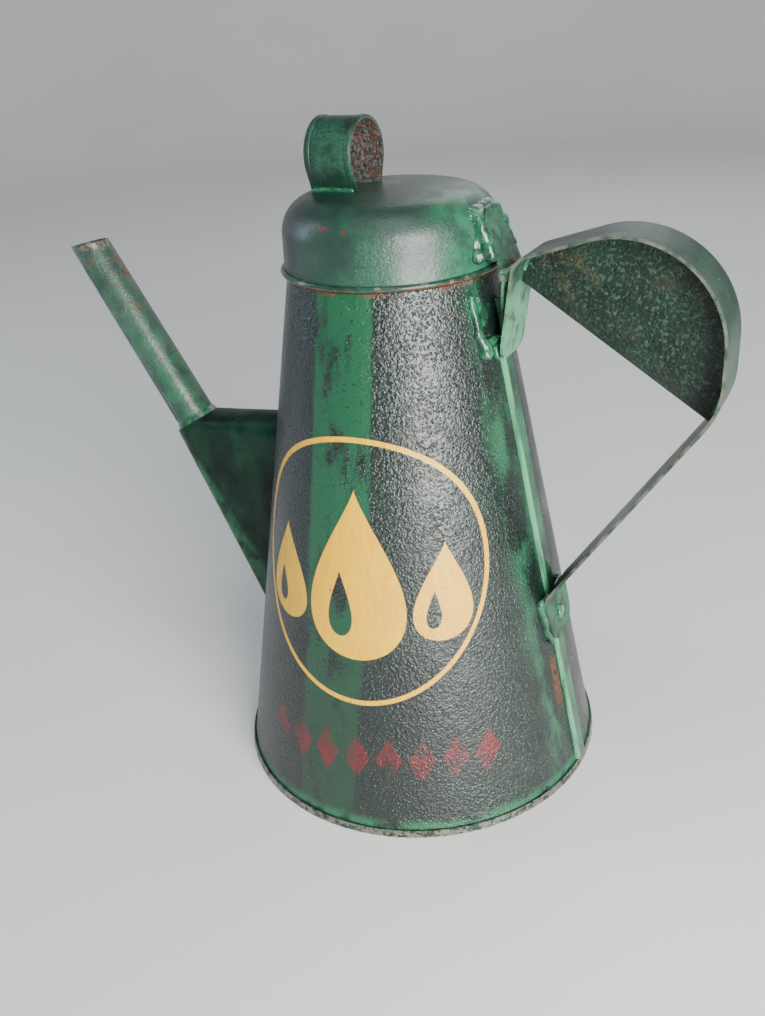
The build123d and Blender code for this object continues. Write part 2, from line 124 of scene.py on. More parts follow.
class SignSettings(bpy.types.PropertyGroup):
    """The painted sign: a ring with three oil drops, and a worn band of lozenges under it."""

    yellow: colour_setting("Yellow", "Colour of the ring and drops", (0.7600, 0.4300, 0.0005))
    amber: colour_setting("Amber", "Brushed streaks in the yellow", (0.6600, 0.3300, 0.0005))
    red: colour_setting("Red", "Colour of the lozenges", (0.1150, 0.0025, 0.0060))
    direction: angle_setting("Direction", "Azimuth of the sign's middle", -84.0)
    centre_height: length_setting("Centre height", "Height of the ring's centre", 110 * MM)
    ring_radius: length_setting("Ring radius", "Radius of the ring", 52 * MM)
    ring_width: length_setting("Ring width", "Width of the ring's line", 2.0 * MM)
    drop_width: length_setting("Drop width", "Width of the middle drop", 40 * MM)
    drop_height: length_setting("Drop height", "Height of the middle drop", 68 * MM)
    side_drop_share: FloatProperty(
        name="Side drop share", description="Size of a side drop against the middle one", default=0.58
    )
    side_drop_offset: length_setting("Side drop offset", "Distance of the side drops", 34.5 * MM)
    stripe_left: angle_setting("Stripe left", "Azimuth of the stripe's left edge", -105.0)
    stripe_top: angle_setting("Stripe top", "Azimuth of the stripe's right edge at the neck", -73.0)
    stripe_foot: angle_setting("Stripe foot", "Azimuth of the stripe's right edge at the base", -86.0)
    band_height: length_setting("Band height", "Height of the lozenges' middle", 34 * MM)
    lozenge_height: length_setting("Lozenge height", "Height of one lozenge", 19 * MM)
    lozenge_pitch: length_setting("Lozenge pitch", "Distance from one lozenge to the next", 13.5 * MM)


class SolderSettings(bpy.types.PropertyGroup):
    """Lumpy solder and the thin raised strips."""

    voxel: length_setting("Voxel", "Fineness of the solder's mesh", 0.42 * MM)
    ripple: length_setting("Ripple", "Height of the solder's ripples", 0.22 * MM)
    hem_width: length_setting("Hem width", "Width of the folded edges of the finger loop", 2.4 * MM)
    hem_thickness: length_setting("Hem thickness", "Thickness of the folded edges", 0.9 * MM)
    fillet_radius: length_setting("Fillet radius", "Radius of the solder along the web plate", 1.1 * MM)
    lap_width: length_setting("Lap width", "Width of the spout's lapped seam", 4.0 * MM)
    lap_thickness: length_setting("Lap thickness", "How far the lapped seam stands proud", 0.35 * MM)
    seed: IntProperty(name="Seed", description="Seed of the solder's ripples", default=7)


class StageSettings(bpy.types.PropertyGroup):
    """Floor, lights and camera."""

    floor: colour_setting("Floor", "Pale floor and backdrop", (0.800, 0.800, 0.790))
    floor_radius: length_setting("Floor radius", "Radius of the flat floor", 1.7)
    sweep_radius: length_setting("Sweep radius", "Radius of the curve up to the backdrop", 0.7)
    wall_height: length_setting("Wall height", "Height of the backdrop", 1.9)
    camera_place: FloatVectorProperty(
        name="Camera", description="Place of the camera", default=(0.1795, -0.3359, 0.3079), unit="LENGTH"
    )
    camera_turn: angle_setting("Turn", "Camera heading, anticlockwise from +Y", 29.76)
    camera_pitch: angle_setting("Pitch", "How far the camera looks down", 27.42)
    camera_roll: angle_setting("Roll", "Turn of the camera about its own axis", -4.45)
    camera_lens: FloatProperty(name="Lens", description="Focal length in mm", default=35.93)


# Node trees


class Tree:
    """Short calls that add nodes to one node tree and join them."""

    def __init__(self, tree):
        self.tree = tree

    def add(self, kind, inputs=None, **settings):
        """Adds a node, then sets or joins its inputs by name or number."""
        node = self.tree.nodes.new(kind)
        for name, value in settings.items():
            setattr(node, name, value)
        for key, value in (inputs or {}).items():
            self.put(node.inputs[key], value)
        return node

    def put(self, socket, value):
        """Joins an input to another socket, or sets it to a plain value."""
        if isinstance(value, bpy.types.NodeSocket):
            self.tree.links.new(value, socket)
        elif socket.type == "RGBA" and len(value) == 3:
            socket.default_value = (*value, 1.0)
        else:
            socket.default_value = value

    def math(self, operation, first, second=0.0):
        """One Math node."""
        return self.add("ShaderNodeMath", {0: first, 1: second}, operation=operation).outputs[0]

    def times(self, *values):
        """The values multiplied together."""
        result = values[0]
        for value in values[1:]:
            result = self.math("MULTIPLY", result, value)
        return result

    def rise(self, value, low, high):
        """0 below low, 1 above high and smooth between; low may be the greater one."""
        inputs = {"Value": value, "From Min": low, "From Max": high}
        return self.add("ShaderNodeMapRange", inputs, interpolation_type="SMOOTHSTEP").outputs[0]

    def between(self, value, low, high, soft):
        """1 between low and high, with soft edges."""
        up = self.rise(value, self.math("SUBTRACT", low, soft), self.math("ADD", low, soft))
        down = self.rise(value, self.math("ADD", high, soft), self.math("SUBTRACT", high, soft))
        return self.math("MULTIPLY", up, down)

    def blend(self, mask, first, second, kind="RGBA"):
        """Mixes two colours, or two numbers with kind FLOAT, by a mask."""
        node = self.add("ShaderNodeMix", data_type=kind)
        wanted = "RGBA" if kind == "RGBA" else "VALUE"
        first_socket, second_socket = [socket for socket in node.inputs if socket.type == wanted][-2:]
        self.put(node.inputs[0], mask)
        self.put(first_socket, first)
        self.put(second_socket, second)
        return [socket for socket in node.outputs if socket.type == wanted][0]

    def noise(self, vector, size, detail=3.0, roughness=0.55):
        """Noise whose features are about one size wide, from 0 to 1."""
        scale = self.math("DIVIDE", 1.0, size) if isinstance(size, bpy.types.NodeSocket) else 1.0 / size
        inputs = {"Vector": vector, "Scale": scale, "Detail": detail, "Roughness": roughness}
        return self.add("ShaderNodeTexNoise", inputs).outputs[0]

    def stretched(self, vector, along_y=1.0, along_z=1.0):
        """The position squeezed along an axis, so that a pattern stretches."""
        return self.add("ShaderNodeMapping", {"Vector": vector, "Scale": (1.0, along_y, along_z)}).outputs[0]

    def distance(self, first, second):
        """The length of two sides at a right angle."""
        squares = self.math("ADD", self.math("POWER", first, 2.0), self.math("POWER", second, 2.0))
        return self.math("SQRT", squares)

    def use(self, group, **inputs):
        """Places a node group and gives its outputs."""
        node = self.add("ShaderNodeGroup", node_tree=group)
        for name, value in inputs.items():
            self.put(node.inputs[name], value)
        return node.outputs


def new_group(name, inputs, outputs):
    """Starts a shader node group: its tree, the sockets that come in and those that go out."""
    group = bpy.data.node_groups.new(name, "ShaderNodeTree")
    for label, kind, default in inputs:
        socket = group.interface.new_socket(label, in_out="INPUT", socket_type=kind)
        if default is not None:
            socket.default_value = default
    for label, kind in outputs:
        group.interface.new_socket(label, in_out="OUTPUT", socket_type=kind)
    tree = Tree(group)
    return group, tree, tree.add("NodeGroupInput").outputs, tree.add("NodeGroupOutput").inputs


VALUE, COLOUR, VECTOR = "NodeSocketFloat", "NodeSocketColor", "NodeSocketVector"


def build_can_position():
    """Group: where a point is on the can, as azimuth, distance from the axis and height."""
    outputs = [("Azimuth", VALUE), ("Radius", VALUE), ("Height", VALUE), ("Across", VALUE)]
    group, tree, given, out = new_group("can_position", [("Vector", VECTOR, None)], outputs)
    parts = tree.add("ShaderNodeSeparateXYZ", {0: given["Vector"]}).outputs
    tree.put(out["Azimuth"], tree.math("ARCTAN2", parts["Y"], parts["X"]))
    tree.put(out["Radius"], tree.distance(parts["X"], parts["Y"]))
    tree.put(out["Height"], parts["Z"])
    tree.put(out["Across"], parts["Y"])
    return group


def build_pebbled_varnish():
    """Group: the height of a varnish that dried in small pebbles, and a mask of the pits between them."""
    inputs = [("Vector", VECTOR, None), ("Size", VALUE, 1.2 * MM)]
    group, tree, given, out = new_group("pebbled_varnish", inputs, [("Height", VALUE), ("Pits", VALUE)])
    size = given["Size"]
    broad = tree.noise(given["Vector"], tree.times(size, 1.5), detail=1.0)
    fine = tree.noise(given["Vector"], tree.times(size, 0.6), detail=1.0)
    calm = tree.noise(given["Vector"], tree.times(size, 9.0), detail=2.0)
    scale = tree.math("DIVIDE", 1.0, size)
    cells = tree.add("ShaderNodeTexVoronoi", {"Vector": given["Vector"], "Scale": scale})
    domes = tree.rise(cells.outputs["Distance"], 0.72, 0.05)
    uneven = tree.times(domes, tree.rise(fine, 0.28, 0.66))
    height = tree.blend(0.35, uneven, tree.rise(broad, 0.34, 0.70), kind="FLOAT")
    strength = tree.blend(tree.rise(calm, 0.35, 0.62), 0.62, 1.0, kind="FLOAT")
    tree.put(out["Height"], tree.times(height, strength))
    tree.put(out["Pits"], tree.times(tree.rise(domes, 0.55, 0.25), tree.rise(fine, 0.56, 0.42)))
    return group


def build_mottled_coat():
    """Group: two tones of one paint in soft patches, with fine dark specks."""
    inputs = [
        ("Vector", VECTOR, None),
        ("Size", VALUE, 20 * MM),
        ("Dark", COLOUR, (0.0, 0.0, 0.0, 1.0)),
        ("Light", COLOUR, (1.0, 1.0, 1.0, 1.0)),
    ]
    group, tree, given, out = new_group("mottled_coat", inputs, [("Color", COLOUR), ("Patches", VALUE)])
    patches = tree.rise(tree.noise(given["Vector"], given["Size"], detail=6.0, roughness=0.62), 0.34, 0.68)
    specks = tree.rise(tree.noise(given["Vector"], tree.times(given["Size"], 0.045), detail=2.0), 0.62, 0.74)
    toned = tree.blend(patches, given["Dark"], given["Light"])
    tree.put(out["Color"], tree.blend(tree.times(specks, 0.55), toned, given["Dark"]))
    tree.put(out["Patches"], patches)
    return group


def build_rust_marks():
    """Group: ragged rust marks; a greater amount covers more."""
    inputs = [
        ("Vector", VECTOR, None),
        ("Size", VALUE, 4 * MM),
        ("Amount", VALUE, 0.5),
        ("Rust", COLOUR, None),
    ]
    group, tree, given, out = new_group("rust_marks", inputs, [("Mask", VALUE), ("Color", COLOUR)])
    ragged = tree.noise(given["Vector"], given["Size"], detail=8.0, roughness=0.68)
    edge = tree.math("SUBTRACT", 0.86, tree.times(given["Amount"], 0.6))
    tree.put(out["Mask"], tree.rise(ragged, edge, tree.math("ADD", edge, 0.08)))
    grain = tree.noise(given["Vector"], tree.times(given["Size"], 0.3), detail=4.0)
    dark = tree.add("ShaderNodeMix", data_type="RGBA", blend_type="MULTIPLY")
    tree.put(dark.inputs[0], tree.rise(grain, 0.35, 0.7))
    tree.put(dark.inputs[6], given["Rust"])
    tree.put(dark.inputs[7], (0.35, 0.30, 0.28))
    tree.put(out["Color"], dark.outputs[2])
    return group


def build_drop_shape():
    """Group: a mask of an oil drop, round below and pointed above."""
    inputs = [("Across", VALUE, 0.0), ("Up", VALUE, 0.0), ("Width", VALUE, 1.0), ("Height", VALUE, 1.0)]
    group, tree, given, out = new_group("drop_shape", inputs, [("Mask", VALUE)])
    level = tree.math("DIVIDE", given["Up"], tree.times(given["Height"], 0.5))
    level = tree.math("MAXIMUM", tree.math("MINIMUM", level, 1.0), -1.0)
    belly = tree.math("SQRT", tree.math("SUBTRACT", 1.0, tree.times(level, level)))
    taper = tree.math("POWER", tree.times(tree.math("SUBTRACT", 1.0, level), 0.5), 0.8)
    half_width = tree.times(belly, taper, tree.times(given["Width"], 0.74))
    inside = tree.math("SUBTRACT", half_width, tree.math("ABSOLUTE", given["Across"]))
    tree.put(out["Mask"], tree.rise(inside, 0.0, 0.25 * MM))
    return group


class Groups:
    """The shader node groups that the materials share, each built once."""

    def __init__(self):
        self.position = build_can_position()
        self.varnish = build_pebbled_varnish()
        self.mottled = build_mottled_coat()
        self.rust = build_rust_marks()
        self.drop = build_drop_shape()


def groups():
    """The shared node groups, built the first time that they are asked for."""
    if not hasattr(Groups, "ready"):
        Groups.ready = Groups()
    return Groups.ready


class Coat:
    """One aged paint being put together: its colour, roughness and relief change over the surface."""

    def __init__(
        self, name, dark, light, roughness=(0.42, 0.28), relief=1.0, patch_size=None, pebble_size=None
    ):
        paint = bpy.context.scene.oil_can_paint
        self.material = bpy.data.materials.new(name)
        self.material.use_nodes = True
        self.tree = Tree(self.material.node_tree)
        self.shader = self.material.node_tree.nodes["Principled BSDF"]
        self.at = self.tree.add("ShaderNodeTexCoord").outputs["Object"]
        self.place = self.tree.use(groups().position, Vector=self.at)
        mottled = self.tree.use(
            groups().mottled, Vector=self.at, Size=patch_size or paint.patch_size, Dark=dark, Light=light
        )
        varnish = self.tree.use(groups().varnish, Vector=self.at, Size=pebble_size or paint.pebble_size)
        self.colour = self.tree.blend(self.tree.times(varnish["Pits"], 0.6), mottled["Color"], dark)
        self.roughness = self.tree.blend(mottled["Patches"], roughness[0], roughness[1], kind="FLOAT")
        self.height = self.tree.times(varnish["Height"], relief)
        self.metal = 0.0
        self.depth = paint.pebble_depth

    def layer(self, mask, colour, roughness=None, relief=None):
        """Lays a colour over what is there, with its own roughness and share of the relief."""
        self.colour = self.tree.blend(mask, self.colour, colour)
        if roughness is not None:
            self.roughness = self.tree.blend(mask, self.roughness, roughness, kind="FLOAT")
        if relief is not None:
            flatter = self.tree.times(self.height, relief)
            self.height = self.tree.blend(mask, self.height, flatter, kind="FLOAT")

    def cloud(self, size, low, high, detail=3.0, roughness=0.55, along_y=1.0, along_z=1.0):
        """A mask of soft spots about one size wide; they stretch along an axis whose share is below 1."""
        at = self.at if along_y == along_z == 1.0 else self.tree.stretched(self.at, along_y, along_z)
        return self.tree.rise(self.tree.noise(at, size, detail, roughness), low, high)

    def axes(self):
        """The X, Y and Z of the point being painted."""
        return self.tree.add("ShaderNodeSeparateXYZ", {0: self.at}).outputs

    def rust(self, amount, where, size=4 * MM, roughness=0.75):
        """Rust marks inside a mask."""
        paint = bpy.context.scene.oil_can_paint
        marks = self.tree.use(groups().rust, Vector=self.at, Size=size, Amount=amount, Rust=paint.rust)
        self.layer(self.tree.times(marks["Mask"], where), marks["Color"], roughness)

    def bare(self, mask, colour, roughness=0.38):
        """Paint worn through to metal inside a mask."""
        self.layer(mask, colour, roughness, 0.5)
        self.metal = self.tree.blend(mask, self.metal, 0.85, kind="FLOAT")

    def finish(self, coat=0.3, coat_roughness=0.16, specular=0.25):
        """Joins everything to the shader and gives the material."""
        tree = self.tree
        bump = tree.add("ShaderNodeBump", {"Strength": 1.0, "Distance": self.depth, "Height": self.height})
        tree.put(self.shader.inputs["Base Color"], self.colour)
        tree.put(self.shader.inputs["Roughness"], self.roughness)
        tree.put(self.shader.inputs["Metallic"], self.metal)
        tree.put(self.shader.inputs["Normal"], bump.outputs[0])
        self.shader.inputs["Coat Weight"].default_value = coat
        self.shader.inputs["Coat Roughness"].default_value = coat_roughness
        self.shader.inputs["Specular IOR Level"].default_value = specular
        return self.material


def paint_node(name, material):
    """Gives a CAD node its finish."""
    slots = NODES[name].material_slots
    if not slots:
        raise RuntimeError(f"{name} has no material slot to paint")
    for slot in slots:
        slot.material = material


# Mesh helpers

SMOOTHING_PASSES = 9
COARSE_RIPPLES = 420.0
FINE_RIPPLES = 1100.0
LUMP_SPACING = 0.55
LUMP_GROWTH = 0.35
BEAD_STEP = 0.6 * MM
BEAD_SIDES = 14
BEAD_RIPPLES = 450.0
SHOULDER_RADIUS = 13 * MM
LID_SHEET = 1.6 * MM


def new_piece(name, mesh, material, body):
    """A finished piece at the origin that rides on a body and takes its finish from a slot."""
    piece = bpy.data.objects.new(name, mesh)
    bpy.context.scene.collection.objects.link(piece)
    mesh.materials.clear()
    mesh.materials.append(material)
    for face in mesh.polygons:
        face.use_smooth = True
    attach(piece, body)
    return piece


def evaluated_mesh(source):
    """The plain mesh that an object's modifiers give; the object is then removed."""
    bpy.context.view_layer.update()
    result = source.evaluated_get(bpy.context.evaluated_depsgraph_get())
    mesh = bpy.data.meshes.new_from_object(result)
    bpy.data.objects.remove(source)
    return mesh


def wall_radius(height):
    """Outer radius of the body's cone at a height."""
    return BASE_RADIUS + (NECK_RADIUS - BASE_RADIUS) * height / BODY_HEIGHT


def on_wall(azimuth, height, proud=0.0):
    """A point on the body's cone, at an azimuth in degrees."""
    radius = wall_radius(height) + proud
    return Vector((radius * cos(radians(azimuth)), radius * sin(radians(azimuth)), height))


def keep_outside(point, sink=0.45 * MM):
    """Moves a point out of the can, so that solder sinks only a little into the sheet it sits on."""
    radius = hypot(point.x, point.y)
    if point.z < LID_BOTTOM - MM:
        least = wall_radius(point.z) - sink
    else:
        drop = LID_TOP - LID_SHEET - SHOULDER_RADIUS
        least = LID_RADIUS - sink - MM * max(0.0, point.z - LID_BOTTOM) / (LID_TOP - LID_BOTTOM)
        if point.z > drop:
            least += (max(0.0, SHOULDER_RADIUS ** 2 - (point.z - drop) ** 2)) ** 0.5 - SHOULDER_RADIUS
    if radius < least:
        point.x *= least / radius
        point.y *= least / radius


def solder_mesh(name, lumps, node, clear_of_can):
    """Solder that ran and set: a CAD node and round lumps melted into one rippled skin."""
    solder = bpy.context.scene.oil_can_solder
    mesh = bmesh.new()
    mesh.from_mesh(NODES[node].data)
    bmesh.ops.remove_doubles(mesh, verts=mesh.verts, dist=1e-6)
    for place, size in lumps:
        matrix = Matrix.Translation(place) @ Matrix.Diagonal((*size, 1.0))
        bmesh.ops.create_icosphere(mesh, subdivisions=3, radius=1.0, matrix=matrix)
    plain = bpy.data.meshes.new(name)
    mesh.to_mesh(plain)
    mesh.free()
    source = bpy.data.objects.new(name, plain)
    bpy.context.scene.collection.objects.link(source)
    remesh = source.modifiers.new("skin", "REMESH")
    remesh.mode = "VOXEL"
    remesh.voxel_size = solder.voxel
    melted = evaluated_mesh(source)
    mesh = bmesh.new()
    mesh.from_mesh(melted)
    every_axis = {"use_axis_x": True, "use_axis_y": True, "use_axis_z": True}
    for _ in range(SMOOTHING_PASSES):
        bmesh.ops.smooth_vert(mesh, verts=mesh.verts, factor=0.5, **every_axis)
    mesh.normal_update()
    drift = Vector((solder.seed, 2.0 * solder.seed, 0.0))
    moves = {}
    for vertex in mesh.verts:
        coarse = noise.noise(vertex.co * COARSE_RIPPLES + drift)
        fine = noise.noise(vertex.co * FINE_RIPPLES + drift)
        wave = coarse + 0.45 * fine
        moves[vertex] = vertex.normal * wave * solder.ripple
    for vertex, move in moves.items():
        vertex.co += move
        if clear_of_can:
            keep_outside(vertex.co)
    bmesh.ops.recalc_face_normals(mesh, faces=mesh.faces)
    mesh.to_mesh(melted)
    mesh.free()
    return melted


def run_of_lumps(start, end, size, wander):
    """Overlapping lumps along a line, each a little different from the one before."""
    noise.seed_set(bpy.context.scene.oil_can_solder.seed)
    lumps = []
    count = max(2, round((end - start).length / (LUMP_SPACING * size)))
    for step in range(count):
        share = step / (count - 1)
        centre = start.lerp(end, share)
        push = noise.noise_vector(centre * 300.0) * wander
        grow = 1.0 + LUMP_GROWTH * noise.noise(centre * 500.0)
        lumps.append((centre + push, (size * grow, size * grow, size * grow)))
    return lumps


def bead_tree():
    """Geometry Nodes tree: a bead swept along a curve, of a given width and thickness, with ripples."""
    group = bpy.data.node_groups.new("swept_bead", "GeometryNodeTree")
    group.interface.new_socket("Geometry", in_out="INPUT", socket_type="NodeSocketGeometry")
    for label in ("Width", "Thickness", "Ripple", "Seed"):
        group.interface.new_socket(label, in_out="INPUT", socket_type=VALUE)
    group.interface.new_socket("Material", in_out="INPUT", socket_type="NodeSocketMaterial")
    group.interface.new_socket("Geometry", in_out="OUTPUT", socket_type="NodeSocketGeometry")
    tree = Tree(group)
    given = tree.add("NodeGroupInput").outputs
    out = tree.add("NodeGroupOutput").inputs
    path = tree.add("GeometryNodeResampleCurve", {"Curve": given["Geometry"]}, mode="LENGTH")
    path.inputs["Length"].default_value = BEAD_STEP
    circle = tree.add("GeometryNodeCurvePrimitiveCircle", {"Resolution": BEAD_SIDES, "Radius": 0.5})
    size = tree.add("ShaderNodeCombineXYZ", {0: given["Width"], 1: given["Thickness"], 2: 1.0})
    shape = {"Geometry": circle.outputs["Curve"], "Scale": size.outputs[0]}
    profile = tree.add("GeometryNodeTransform", shape)
    inputs = {"Curve": path.outputs[0], "Profile Curve": profile.outputs[0], "Fill Caps": True}
    swept = tree.add("GeometryNodeCurveToMesh", inputs)
    pattern = {"W": given["Seed"], "Scale": BEAD_RIPPLES, "Detail": 2.0}
    waves = tree.add("ShaderNodeTexNoise", pattern, noise_dimensions="4D")
    lift = tree.times(tree.math("SUBTRACT", waves.outputs[0], 0.5), given["Ripple"])
    normal = tree.add("GeometryNodeInputNormal").outputs[0]
    push = tree.add("ShaderNodeVectorMath", {0: normal}, operation="SCALE")
    tree.put(push.inputs["Scale"], lift)
    moved = tree.add("GeometryNodeSetPosition", {"Geometry": swept.outputs[0], "Offset": push.outputs[0]})
    solid = tree.add("GeometryNodeRealizeInstances", {0: moved.outputs[0]})
    painted = tree.add("GeometryNodeSetMaterial", {0: solid.outputs[0], "Material": given["Material"]})
    tree.put(out[0], painted.outputs[0])
    return group


def swept_bead(name, paths, material, width, thickness, ripple=0.0, seed=0.0):
    """The mesh of beads swept along paths, each a list of points."""
    curve = bpy.data.curves.new(name, "CURVE")
    curve.dimensions = "3D"
    for points in paths:
        spline = curve.splines.new("POLY")
        spline.points.add(len(points) - 1)
        for slot, point in zip(spline.points, points):
            slot.co = (*point, 1.0)
    source = bpy.data.objects.new(name, curve)
    bpy.context.scene.collection.objects.link(source)
    group = bpy.data.node_groups.get("swept_bead") or bead_tree()
    modifier = source.modifiers.new("bead", "NODES")
    modifier.node_group = group
    wanted = {"Width": width, "Thickness": thickness, "Ripple": ripple, "Seed": seed, "Material": material}
    for item in group.interface.items_tree:
        if item.in_out == "INPUT" and item.name in wanted:
            modifier[item.identifier] = wanted[item.name]
    mesh = evaluated_mesh(source)
    shape = bmesh.new()
    shape.from_mesh(mesh)
    bmesh.ops.remove_doubles(shape, verts=shape.verts, dist=1e-7)
    bmesh.ops.recalc_face_normals(shape, faces=shape.faces)
    shape.to_mesh(mesh)
    shape.free()
    return mesh


# Finishes

DARK_PITS = (0.004, 0.008, 0.006)
CRUST_DARK = (0.012, 0.011, 0.010)
CRUST_PALE = (0.115, 0.100, 0.088)
WORN_EDGE = (0.10, 0.11, 0.085)
WEB_GRAINS = (0.045, 0.100, 0.065)
WEB_BROWN = (0.055, 0.050, 0.020)
WEB_SHADE = (0.006, 0.016, 0.011)
TIN_DARK = (0.16, 0.13, 0.10)
TIN_LIGHT = (0.34, 0.30, 0.25)
STEEL_DARK = (0.20, 0.17, 0.14)
STEEL_LIGHT = (0.62, 0.58, 0.52)

# Where a finish starts and where it is at its full strength

SHADED_SIDE = (radians(-165), radians(-107))
REAR_SIDE = (radians(35), radians(140))
SPOUT_HALF = (radians(-50), radians(-80))
SHADED_FOOT = (130 * MM, 30 * MM)
# Painted shade towards the base on the spout's side: the height where it is full, then where it starts.
SEAM_PATCH = (-22 * MM, -4 * MM)
SEAM_FRONT = (radians(-40), radians(-6))
FOOT_GREEN = (9 * MM, 4 * MM)
SCRATCH_TURN = (radians(-9.6), radians(-5.6))
SCRATCH_HEIGHT = (33 * MM, 57 * MM)
LID_REAR = (radians(-34), radians(30))
LID_PAST_FRONT = (radians(-92), radians(-125))
LID_BEFORE_BACK = (radians(175), radians(150))
LID_OUTER = (6 * MM, 28 * MM)
LOOP_WALL_SLOPE = 0.36
LOOP_WALL_FOOT = 13.0 * MM
TUBE_RIDGE = (-20.5 * MM, -17.5 * MM)
TUBE_GREEN = (205 * MM, 150 * MM)
SOCKET_TOP = (143 * MM, 147 * MM)
SOCKET_FOLD = (-33 * MM, -37 * MM)
TOP_TAB_OUT = (53 * MM, 50 * MM)
TOP_TAB_HEIGHT = (228 * MM, 214 * MM)
FOOT_TAB_HEIGHT = (86 * MM, 80 * MM)
WEB_SLOPE = 0.66
WEB_CHORD = (254 * MM, 244.5 * MM)
KNUCKLE_RUST = (7 * MM, 2 * MM)


def sign_masks(coat):
    """Masks of the yellow ring and drops and of the red lozenges, in the coat's own tree."""
    sign = bpy.context.scene.oil_can_sign
    tree = coat.tree
    turn = tree.math("SUBTRACT", coat.place["Azimuth"], sign.direction)
    across = tree.times(turn, coat.place["Radius"])
    up = tree.math("SUBTRACT", coat.place["Height"], sign.centre_height)
    away = tree.distance(across, up)
    soft = 0.12 * MM
    yellow = tree.between(
        away, sign.ring_radius - sign.ring_width / 2, sign.ring_radius + sign.ring_width / 2, soft
    )
    share = sign.side_drop_share
    for side, size, lift in ((0.0, 1.0, 0.0), (-1.0, share, -6 * MM), (1.0, share, -6 * MM)):
        offset = tree.math("SUBTRACT", across, side * sign.side_drop_offset)
        level = tree.math("SUBTRACT", up, lift)
        width = sign.drop_width * size
        height = sign.drop_height * size
        drop = tree.use(groups().drop, Across=offset, Up=level, Width=width, Height=height)["Mask"]
        glint_across = tree.math("ADD", offset, 0.16 * width)
        glint_up = tree.math("ADD", level, 0.17 * height)
        glint = tree.use(
            groups().drop, Across=glint_across, Up=glint_up, Width=0.26 * width, Height=0.40 * height
        )["Mask"]
        yellow = tree.math("MAXIMUM", yellow, tree.math("SUBTRACT", drop, glint))
    band = tree.math("ABSOLUTE", tree.math("SUBTRACT", coat.place["Height"], sign.band_height))
    step = tree.math("FLOORED_MODULO", tree.math("ADD", across, sign.lozenge_pitch / 2), sign.lozenge_pitch)
    step = tree.math("ABSOLUTE", tree.math("SUBTRACT", step, sign.lozenge_pitch / 2))
    tall = tree.math("DIVIDE", band, sign.lozenge_height / 2)
    wide = tree.math("DIVIDE", step, 0.42 * sign.lozenge_pitch)
    lozenge = tree.rise(tree.math("ADD", tall, wide), 1.03, 0.97)
    reach = tree.between(across, -3.5 * sign.lozenge_pitch, 4.5 * sign.lozenge_pitch, soft)
    return yellow, tree.times(lozenge, reach)


